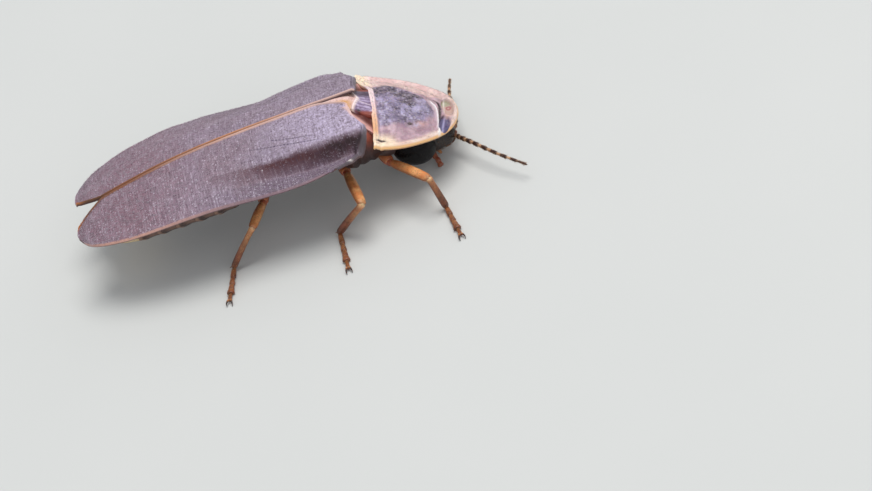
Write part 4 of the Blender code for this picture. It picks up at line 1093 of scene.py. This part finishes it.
def neck_relief(x, y, z, ways):
    """Folds that run round the soft collar, and two rows of pink lumps in front of the wing cases.

    The lumps are a bell curve of the distance from slanted lines, times a wave.
    """
    beside = np.abs(y)
    lump = bump((x + 0.10 - beside + 0.85) / 1.4, 0.0, 0.085) * rise(ways[..., 2], 0.10, 0.40)
    lump = lump * rise(beside, 0.50, 0.64) * fall(beside, 1.22, 1.36)
    height = 0.030 * np.sin(x * 20.0 + 2.0 * beside) + 0.015 * hills(x * 6.0, y * 6.0 + 9.0, SEED + 6)
    height = height + 0.15 * lump * (1.0 + 0.35 * np.sin(beside * 30.0))
    shade = fall(ways[..., 2], -0.1, 0.50) * (1.0 - lump)
    return height, {"shade": shade, "pale": np.clip(1.3 * lump, 0.0, 0.9),
                    "warm": bump(beside, 1.36, 0.22) * (1.0 - shade)}


def chest_relief(x, y, z, ways):
    """Breast plates parted by grooves, a middle line below, and side plates."""
    below = rise(-ways[..., 2], 0.1, 0.6)
    beside = rise(np.abs(ways[..., 1]), 0.5, 0.8)
    groove = bump(x, -1.55 - 0.12 * np.abs(y), 0.05) + bump(x, -3.55 + 0.15 * np.abs(y), 0.05)
    groove = groove + 0.8 * bump(y, 0.0, 0.04) * below + 0.7 * bump(np.abs(y), 0.98, 0.04) * below
    slanted = bump(x + 2.55 - 0.55 * (z - 1.8), 0.0, 0.045) + bump(x + 1.10 + 0.35 * (z - 1.8), 0.0, 0.04)
    groove = groove + beside * slanted + 0.8 * beside * (bump(z, 2.12, 0.035) + bump(z, 1.46, 0.03))
    height = -0.06 * np.clip(groove, 0.0, 1.3) + 0.020 * hills(x * 3.0, z * 4.0 + 40.0, SEED + 7)
    return height + 0.006 * hills(x * 11.0, y * 11.0 + 80.0, SEED + 14), {"pale": 0.12 * held(groove)}


def fore_chest_relief(x, y, z, ways):
    """A groove round the front chest and two along its underside."""
    groove = bump(x, 0.05, 0.04) + 0.8 * bump(np.abs(y), 0.42, 0.04) * rise(-ways[..., 2], 0.1, 0.6)
    height = -0.04 * groove + 0.01 * hills(x * 7.0 + 5.0, y * 7.0 + 9.0, SEED + 8)
    return height, {"pale": 0.5 * held(groove)}


def head_relief(x, y, z, ways):
    """A shallow furrow along the middle of the head."""
    return -0.03 * bump(y, 0.0, 0.05) + 0.01 * hills(x * 9.0, y * 9.0 + 9.0, SEED + 11), {"pale": 0.0}


def body(soft, wall):
    """Soft collar between front and middle chest, middle and hind chest, and front chest under the shield."""
    stations = ((0.62, 0.80, 2.30, 1.42, 0.0), (0.34, 1.18, 2.54, 1.28, 0.0), (0.02, 1.46, 2.77, 1.16, 0.0),
                (-0.40, 1.64, 3.02, 1.12, 0.0), (-1.05, 1.74, 3.13, 1.10, 0.0))
    body_part("neck_fold", stations, 150, 200, (1.7, 2.8), 0.07, neck_relief, soft, "body")
    stations = ((-0.62, 0.86, 2.25, 1.36, 0.5), (-1.10, 1.12, 2.42, 1.14, 0.38),
                (-1.70, 1.34, 2.46, 1.06, 0.15), (-2.60, 1.40, 2.46, 1.02, 0.0),
                (-3.50, 1.36, 2.45, 1.05, 0.0), (-4.62, 1.30, 2.40, 1.12, 0.0))
    body_part("chest", stations, 150, 120, (1.5,), 0.10, chest_relief, wall, "body",
              replaced=("thorax",))
    stations = ((-0.30, 0.80, -0.62, -1.40, 0.0), (0.20, 1.08, -0.52, -1.56, 0.0),
                (0.65, 1.12, -0.50, -1.62, 0.0), (1.20, 0.80, -0.58, -1.58, 0.0))
    body_part("fore_chest", stations, 90, 100, (1.6,), 0.12, fore_chest_relief, wall, "body",
              replaced=("prothorax",), tilted=True)


def belly_station(x):
    """Half width, top and bottom of the abdomen at x, as in the solids."""
    start, end, tip = -4.43, -7.35, -8.72
    share = (start - x) / (start - end)
    past_end = held((end - x) / (end - tip))
    half_width = 1.58 - 0.30 * np.clip(share, 0.0, None) ** 1.6
    half_width = half_width * np.sqrt(np.maximum(1.0 - past_end**2.2, 0.03))
    top = SEAM_HEIGHT - np.interp(-x / CASE_LENGTH, SEAM_STATIONS, SEAM_FALL) - 0.75
    bottom = 1.12 - 0.14 * share + 0.25 * past_end**2
    flat = np.sqrt(np.maximum(1.0 - 0.90 * past_end**4, 0.05))
    middle, half = (top + bottom) / 2.0, (top - bottom) / 2.0 * flat
    return half_width, middle, half


def belly_segments(name, start, end, count, replaced, slot, finish, pale_share):
    """Overlapping rings of the abdomen.

    Along each, the wall swells and flares to a sharp hind edge, which runs back in a point at the sides,
    then steps in under the next.
    """
    length = (end - start) / count
    rings, pale = [], []
    for k in range(count):
        for share in np.append(np.linspace(0.0, 1.0, 16), 1.015):
            x = start + (k + share) * length
            half_width, middle, half = belly_station(x)
            scale = 0.86 + 0.07 * rise(share, 0.0, 0.35) + 0.04 * rise(share, 0.6, 1.0) - 0.11 * (share > 1.0)
            station = (x, half_width * scale, middle + half * min(scale, 1.0), middle - half * scale, 0.0)
            ring = body_ring(station, 120, 1.7)
            sideways = np.abs(ring[:, 1]) / np.abs(ring[:, 1]).max()
            ring[:, 0] -= 0.20 * share**2 * sideways**4
            ring[:, 2] += 0.10 * bump(sideways, 0.93, 0.10) * share * 0.6
            rings.append(ring)
            skin = 0.5 * rise(sideways, 0.88, 1.0) * fall(share, 0.55, 0.85)
            pale.append(held(rise(share, 0.84, 0.96) + skin) * pale_share)
    rings = np.array(rings)
    x, y = rings[..., 0], rings[..., 1]
    ways = outward_ways(rings)
    rings = rings + (0.008 * hills(x * 8.0 + 30.0, y * 8.0 + 30.0, SEED + 9))[..., None] * ways
    spots = bump(x, -8.30, 0.10) * bump(np.abs(y), 0.36, 0.11) * (ways[..., 2] < -0.2)
    glow = spots if name == "belly_tip" else 0.0
    make_piece(name, stack(rings, {"pale": np.array(pale), "glow": glow}), finish, slot, replaced)


# Head

def head(finish, hairs):
    """Head capsule between the eyes, with a face that slopes down to the mouth and bears short hairs."""
    stations = ((1.00, 0.46, -0.70, -1.50, 0.0), (1.40, 0.70, -0.52, -1.68, 0.0),
                (1.95, 0.74, -0.46, -1.62, 0.0), (2.45, 0.62, -0.50, -1.36, 0.0),
                (2.86, 0.40, -0.62, -1.08, 0.0))
    rings, ways = body_part("head_capsule", stations, 90, 90, (2.2,), 0.12, head_relief, finish, "head",
                            replaced=("head",), tilted=True)
    rng = np.random.default_rng(SEED + 21)
    row, column = rng.integers(40, 86, FACE_HAIRS), rng.integers(0, 90, FACE_HAIRS)
    roots = from_front(rings[row, column])
    normals = from_front(rings[row, column] + ways[row, column]) - roots
    lie = (0.7, 0.0, -0.7) + rng.normal(0.0, 0.25, (FACE_HAIRS, 3))
    lengths = rng.uniform(0.05, 0.10, FACE_HAIRS)
    hair_piece("face_hairs", hairs, "head", roots, lie, normals, lengths, FACE_HAIR, 35.0,
               (row / 90.0, column / 90.0))


def eye_rims(finish):
    """Narrow raised rim where each eye meets the head: a tube round an oval."""
    angle = np.linspace(0.0, 2.0 * np.pi, 90)
    pieces = []
    for side in SIDES.values():
        line = np.column_stack([1.46 + 0.672 * np.cos(angle), side * 0.66 + 0.0 * angle,
                                -1.03 + 0.535 * np.sin(angle)])
        pieces.append(tube(line, 0.034, 0.034, 14, ACROSS, {"pale": 0.25}))
    make_piece("eye_rims", joined(pieces), finish, "head", tilted=True)


def feeler_sockets(finish):
    """Raised ring at the root of each feeler: a short tube along the feeler's first stretch."""
    pieces = []
    for side_name, side in SIDES.items():
        inner, outer = SOCKET * (1.0, side, 1.0), FEELERS[side_name][0]
        pieces.append(limb(inner, inner + 0.66 * (outer - inner), lambda s: 0.150 - 0.02 * s, 1.0, UPWARD,
                           {"tone": lambda s: 0.9}))
    make_piece("feeler_sockets", joined(pieces), finish, "head")


def mouth_parts(finish):
    """Upper lip in two plates, palps of four joints and the curved jaws, on both sides of the mouth."""
    share = np.linspace(0.0, 1.0, 60)
    lip = spline([(2.86, 0.0, -0.92), (2.86, 0.0, -1.12), (2.76, 0.0, -1.30), (2.60, 0.0, -1.44)], 60)
    from_middle = np.abs(2.0 * share - 1.0)
    wide = 0.22 * (1.0 - 0.25 * share) * (1.0 - 0.16 * bump(share, 0.52, 0.035))
    wide = wide * np.sqrt(np.clip(1.0 - from_middle**6, 0.02, 1.0))
    high = 0.055 * (1.0 - 0.5 * bump(share, 0.52, 0.035)) * np.sqrt(np.clip(1.0 - from_middle**8, 0.05, 1.0))
    lip_tone = {"tone": 1.0 - 0.25 * rise(share, 0.50, 0.60), "pale": 0.15 * rise(share, 0.55, 0.8)}
    pieces = [tube(lip, wide, high, 36, ACROSS, lip_tone)]
    palp = np.array([(2.14, 0.20, -1.30), (2.26, 0.44, -1.50), (2.38, 0.66, -1.58), (2.46, 0.80, -1.68)])
    jaw = np.array([(2.34, 0.16, -1.42), (2.52, 0.20, -1.56), (2.60, 0.10, -1.66), (2.58, 0.02, -1.70)])
    place = 4.0 * share
    within = place - np.floor(np.minimum(place, 3.999))
    swell = 0.080 + 0.018 * np.sin(np.pi * held(within)) + 0.012 * rise(place, 2.8, 3.6)
    swell = swell * np.sqrt(np.maximum(1.0 - held((place - 3.7) / 0.3) ** 2, 0.02))
    thin = 0.07 * np.linspace(1.0, 0.12, 30)
    for side in SIDES.values():
        line = spline(palp * (1.0, side, 1.0), 60)
        pieces.append(tube(line, swell, 0.8 * swell, 20, UPWARD, {"tone": 0.80, "red": 0.25}))
        line = spline(jaw * (1.0, side, 1.0), 30)
        pieces.append(tube(line, thin, 0.7 * thin, 14, UPWARD, {"tone": np.linspace(0.3, 1.0, 30)}))
    make_piece("mouth_parts", joined(pieces), finish, "head", tilted=True)


def eye(side_name, side, finish):
    """Compound eye: a dome larger than half a ball, from rings that follow a circle from rim to pole."""
    rise_angle = np.radians(np.linspace(-35.0, 89.0, 60))[:, None]
    angle = (2.0 * np.pi * np.arange(80) / 80)[None, :]
    rings = np.stack([1.46 + 0.68 * np.cos(rise_angle) * np.cos(angle),
                      side * (0.78 + 0.54 * np.sin(rise_angle) + 0.0 * angle),
                      -1.03 + 0.54 * np.cos(rise_angle) * np.sin(angle)], axis=-1)
    make_piece("compound_eye_" + side_name, stack(rings, {}), finish, "eye", ("eye_" + side_name,),
               tilted=True)


# Feelers

def feeler(side_name, side, finish, hairs):
    """Feeler of eleven joints along a smooth line: each is a cone, narrow and pale at its base."""
    joints, steps, count = 11, 14, FEELER_HAIRS
    line = spline((SOCKET * (1.0, side, 1.0), *FEELERS[side_name]), joints * steps)
    place = np.arange(joints * steps) / steps
    index = np.minimum(place.astype(int), joints - 1)
    within = (np.arange(joints * steps) % steps) / (steps - 1.0)
    size = np.interp(place, (0.0, 1.0, 2.0, 3.0, 6.0, 9.0, 11.0),
                     (0.118, 0.110, 0.088, 0.092, 0.082, 0.064, 0.048))
    cone = (0.60 + 0.40 * within**0.8) * (1.0 - 0.45 * rise(within, 0.86, 1.0))
    cone = np.where(index == 0, 0.55 + 0.55 * np.sin(np.pi * held(within * 0.85 + 0.1)), cone)
    radius = size * cone
    radius[-4:] *= np.array([0.85, 0.6, 0.35, 0.12])
    tone = rise(within, 0.22, 0.42) * (1.0 - 0.5 * rise(within, 0.9, 1.0))
    tone[index < 2] = 0.25
    tone[index == 10] = 0.9
    surface = tube(line, radius, 0.82 * radius, 22, UPWARD, {"tone": tone})
    make_piece("feeler_" + side_name, surface, finish, "feeler", ("antenna_" + side_name,))
    rng = np.random.default_rng(SEED + len("antenna_" + side_name))
    spot = rng.integers(steps, joints * steps - 2, count)
    turn = rng.uniform(0.0, 2.0 * np.pi, count)
    tangent = unit(np.gradient(line, axis=0))[spot]
    across = unit(np.cross(tangent, UPWARD))
    normal = np.cos(turn)[:, None] * across + np.sin(turn)[:, None] * np.cross(tangent, across)
    roots = line[spot] + 0.86 * radius[spot][:, None] * normal
    hair_piece("feeler_" + side_name + "_hairs", hairs, "feeler", roots, tangent, normal,
               rng.uniform(0.04, 0.075, count), FEELER_HAIR, 42.0,
               (spot / (joints * steps), turn / (2.0 * np.pi)))


# Legs

def leg_line(stance):
    """Corner points of a leg: hip, root, knee, ankle, and heel and toe near the floor."""
    hip, root, knee = (np.array(point, dtype=float) for point in stance[:3])
    heel, toe = (np.array((*point, 0.105)) for point in stance[3:])
    return hip, root, knee, heel + 0.03 * UPWARD, heel, toe


def limb(start, end, profile, flat, hint, marks, bow=0.0, steps=40, sides=24):
    """One leg joint: a tube whose half width follows a profile of the share of its length, bowed upwards."""
    share = np.linspace(0.0, 1.0, steps)
    line = start + share[:, None] * (end - start) + bow * UPWARD * np.sin(np.pi * share)[:, None]
    half = profile(share) * np.sqrt(np.clip(1.0 - (np.abs(2.0 * share - 1.0) ** 14), 0.02, 1.0))
    return tube(line, half, flat * half, sides, hint, {name: value(share) for name, value in marks.items()})


def foot(heel, toe):
    """Foot of five short joints that flare towards the toe, the fourth with two broad lobes, and two hooked
    claws, each a line that runs forward, turns aside and dips to the floor."""
    way = unit(toe - heel)
    side = np.array([-way[1], way[0], 0.0])
    cuts = (0.0, 0.34, 0.55, 0.70, 0.82, 1.04)
    start = heel - 0.10 * way
    span = np.linalg.norm(toe - heel) + 0.10
    share = np.linspace(0.0, 1.0, 26)
    pieces = []
    joints = ((0.096, 0.55), (0.098, 0.55), (0.100, 0.6), (0.130, 0.6), (0.066, 0.7))
    for k, (broad, flare) in enumerate(joints):
        first, last = start + cuts[k] * span * way, start + (cuts[k + 1] + 0.02) * span * way
        half = broad * (flare + (1.0 - flare) * share**0.7)
        half = half * np.sqrt(np.clip(1.0 - np.abs(2.0 * share - 1.0) ** 10, 0.03, 1.0))
        line = first + share[:, None] * (last - first)
        line[:, 2] = 0.072 + 0.02 * np.sin(np.pi * share)
        marks = {"tone": 0.80 + 0.15 * rise(share, 0.5, 1.0), "pale": 0.5 * bump(share, 0.0, 0.12)}
        pieces.append(tube(line, half, 0.8 * half, 20, side, marks))
        pieces[-1][0][:, 2] = np.maximum(pieces[-1][0][:, 2], 0.0)
    share = np.linspace(0.0, 1.0, 24)
    half = 0.032 * (1.0 - share**1.5) + 0.004
    for turn in SIDES.values():
        knots = [toe + along * way + aside * turn * side + height * UPWARD for along, aside, height in
                 ((0.0, 0.02, -0.03), (0.11, 0.06, 0.01), (0.20, 0.09, -0.02), (0.26, 0.08, -0.080))]
        pieces.append(tube(spline(knots, 24), half, half, 12, side, {"claw": rise(share, 0.1, 0.5)}))
    return pieces


def leg(name, stance, thigh, shin, finish):
    """A whole leg as one mesh of closed parts: hip, ring joint, thigh, shin with two spurs, foot, claws."""
    hip, root, knee, ankle, heel, toe = leg_line(stance)
    hint = unit(np.cross(knee - root, ankle - knee))
    thigh_way, shin_way = unit(knee - root), unit(ankle - knee)
    pieces = [
        limb(hip, root + 0.06 * thigh_way, lambda s: 0.155 + 0.02 * np.sin(np.pi * s), 0.9,
             np.array((1.0, 0.0, 0.0)), {"tone": lambda s: 0.45 - 0.3 * s, "red": lambda s: 0.2 + 0.3 * s}),
        limb(root - 0.04 * thigh_way, root + 0.22 * thigh_way, lambda s: 0.105 + 0.02 * np.sin(np.pi * s),
             0.95, hint, {"tone": lambda s: 0.1, "red": lambda s: 1.0 - 0.4 * s}),
        limb(root + 0.10 * thigh_way, knee + 0.04 * thigh_way,
             lambda s: 0.100 + (thigh - 0.100) * np.sin(np.pi * held(s * 0.80 + 0.08)) ** 0.6, 0.80, hint,
             {"tone": lambda s: 0.55 * rise(s, 0.88, 1.0), "red": lambda s: 0.3 * fall(s, 0.0, 0.15)},
             bow=0.02),
        limb(knee - 0.05 * shin_way, ankle + 0.05 * shin_way,
             lambda s: shin + 0.016 * rise(s, 0.0, 0.9) + 0.024 * bump(s, 0.04, 0.07), 0.85, hint,
             {"tone": lambda s: 0.50 + 0.46 * rise(s, 0.0, 0.8), "pale": lambda s: 0.7 * bump(s, 0.0, 0.07)},
             bow=0.03),
    ]
    for turn in SIDES.values():
        spur_end = ankle + 0.10 * shin_way + 0.09 * turn * hint + 0.03 * UPWARD
        pieces.append(limb(ankle - 0.02 * shin_way + 0.05 * turn * hint, spur_end,
                           lambda s: 0.022 * (1.0 - 0.8 * s), 1.0, hint, {"tone": lambda s: 0.9},
                           steps=12, sides=8))
    surface = joined(pieces + foot(heel, toe))
    make_piece(name.replace("leg", "limb"), surface, finish, "leg", (name,))


def leg_bristles(finish):
    """Bristles of all six legs: they lie towards the foot on thigh, shin and foot joints."""
    rng = np.random.default_rng(SEED + 30)
    rows = []
    for number, stance in enumerate(STANCE.values()):
        _, root, knee, ankle, heel, toe = leg_line(stance)
        stretches = ((root + 0.2 * unit(knee - root), knee, 0.12, 0.02, 160, 0.08),
                     (knee, ankle, 0.08, 0.02, 260, 0.07),
                     (heel - 0.03 * UPWARD, toe - 0.03 * UPWARD, 0.085, 0.0, 260, 0.05))
        for part, (start, end, radius, bow_height, count, length) in enumerate(stretches):
            share = rng.uniform(0.03, 0.97, count)
            turn = rng.uniform(0.0, 2.0 * np.pi, count)
            if part == 2:
                turn = rng.uniform(0.15 * np.pi, 0.85 * np.pi, count)
            way = unit(end - start)
            across = unit(np.cross(way, UPWARD))
            normal = np.cos(turn)[:, None] * across + np.sin(turn)[:, None] * np.cross(across, way)
            line = start + share[:, None] * (end - start)
            line = line + bow_height * UPWARD * np.sin(np.pi * share)[:, None]
            lie = way + rng.normal(0.0, 0.15, (count, 3))
            rows.append(np.column_stack([line + 0.8 * radius * normal, lie, normal,
                                         length * rng.uniform(0.7, 1.3, count),
                                         (number + (part + share) / 3.0) / 6.0, turn / (2.0 * np.pi)]))
    rows = np.vstack(rows)
    hair_piece("leg_bristles", finish, "leg", rows[:, :3], rows[:, 3:6], rows[:, 6:9], rows[:, 9],
               BRISTLE, 38.0, (rows[:, 10], rows[:, 11]))


# Stage, light and camera

def make_floor():
    """Large pale floor under the feet."""
    half = 1.5
    corners = [(-half, -half, 0.0), (half, -half, 0.0), (half, half, 0.0), (-half, half, 0.0)]
    mesh = bpy.data.meshes.new("floor")
    mesh.from_pydata(corners, [], [(0, 1, 2, 3)])
    mesh.materials.append(floor_finish())
    floor = bpy.data.objects.new("floor", mesh)
    bpy.context.scene.collection.objects.link(floor)


def put_in_scene(name, data, axes, place):
    """Adds a lamp or a camera with the given X, Y and Z axes at a place."""
    item = bpy.data.objects.new(name, data)
    rows = np.column_stack([*axes, place])
    item.matrix_world = Matrix([list(row) for row in rows] + [[0.0, 0.0, 0.0, 1.0]])
    bpy.context.scene.collection.objects.link(item)
    return item


def soft_light(name, place, power, size, tint):
    """Square soft light that faces the middle of the model."""
    lamp = bpy.data.lights.new(name, "AREA")
    lamp.energy = power
    lamp.size = size
    lamp.color = tint
    back = unit(np.array(place))
    right = unit(np.cross(UPWARD, back))
    put_in_scene(name, lamp, [right, np.cross(back, right), back], place)


def make_light():
    """Even studio light: a wide key above, a fill beside the camera, and a pale surround."""
    soft_light("key", (0.07, 0.03, 0.34), 0.84, 0.20, (1.0, 0.985, 0.96))
    soft_light("fill", (0.16, -0.30, 0.22), 0.22, 0.30, (0.96, 0.98, 1.0))
    world = bpy.data.worlds.new("surround")
    world.use_nodes = True
    surround = world.node_tree.nodes["Background"]
    surround.inputs["Color"].default_value = (0.92, 0.95, 1.0, 1.0)
    surround.inputs["Strength"].default_value = 0.50
    bpy.context.scene.world = world
    bpy.context.scene.view_settings.view_transform = "Standard"


def make_camera():
    """Camera behind its target along the line of view, rolled about that line."""
    right = np.array([math.cos(VIEW_TURN), math.sin(VIEW_TURN), 0.0])
    back = np.array([math.sin(VIEW_TURN) * math.cos(VIEW_HEIGHT),
                     -math.cos(VIEW_TURN) * math.cos(VIEW_HEIGHT), math.sin(VIEW_HEIGHT)])
    up = np.cross(back, right)
    rolled_right = math.cos(VIEW_ROLL) * right - math.sin(VIEW_ROLL) * up
    rolled_up = math.sin(VIEW_ROLL) * right + math.cos(VIEW_ROLL) * up
    place = (np.array(VIEW_TARGET) + (BODY_SHIFT_X, 0.0, 0.0) + VIEW_DISTANCE * back) * MM
    lens = bpy.data.cameras.new("camera")
    lens.lens = LENS
    lens.clip_start = 0.001
    bpy.context.scene.camera = put_in_scene("camera", lens, [rolled_right, rolled_up, back], place)


def main():
    """Builds the scene piece by piece."""
    make_camera()
    make_floor()
    make_light()
    case = case_finish()
    case_hair = hair_finish("case_hair", (134, 114, 124), (206, 192, 204))
    pale_hair = hair_finish("pale_hair", (170, 150, 146), (226, 212, 206))
    gold_hair = hair_finish("gold_hair", (150, 104, 66), (214, 170, 118))
    for side_name, side in SIDES.items():
        wing_case(side_name, side, case)
        case_hairs(side_name, side, CASE_HAIRS, case_hair)
    neck_shield(shield_finish())
    shield_hairs(SHIELD_HAIRS, pale_hair)
    scutellum(scutellum_finish())
    soft = hide_finish("soft_fold", (124, 72, 66), (86, 48, 46), (48, 24, 24), 0.45, 0.4, 0.02,
                       (228, 176, 170))
    wall = hide_finish("body_wall", (58, 44, 44), (84, 60, 54), (26, 20, 22), 0.45, 0.5, 0.02)
    body(soft, wall)
    belly_segments("belly", -4.30, -7.40, 5, ("abdomen",), "body", wall, 0.55)
    organ = hide_finish("light_organ", (226, 204, 160), (196, 164, 120), (150, 118, 84), 0.4, 0.5, 0.014)
    belly_segments("belly_tip", -7.28, -8.72, 2, ("abdomen_tip",), "light_organ", organ, 0.3)
    shell = hide_finish("head_wall", (24, 18, 18), (40, 28, 26), (12, 9, 10), 0.28, 0.5, 0.01)
    head(shell, hair_finish("face_hair", (58, 42, 34), (120, 90, 64)))
    eye_rims(shell)
    legs = leg_finish()
    mouth_parts(legs)
    feeler_sockets(legs)
    shine = eye_finish()
    for side_name, side in SIDES.items():
        eye(side_name, side, shine)
    feelers = feeler_finish()
    for side_name, side in SIDES.items():
        feeler(side_name, side, feelers, gold_hair)
    for name, stance in STANCE.items():
        leg(name, stance, *LEG_HALF_WIDTHS[name.split("_")[0]], legs)
    leg_bristles(gold_hair)


main()
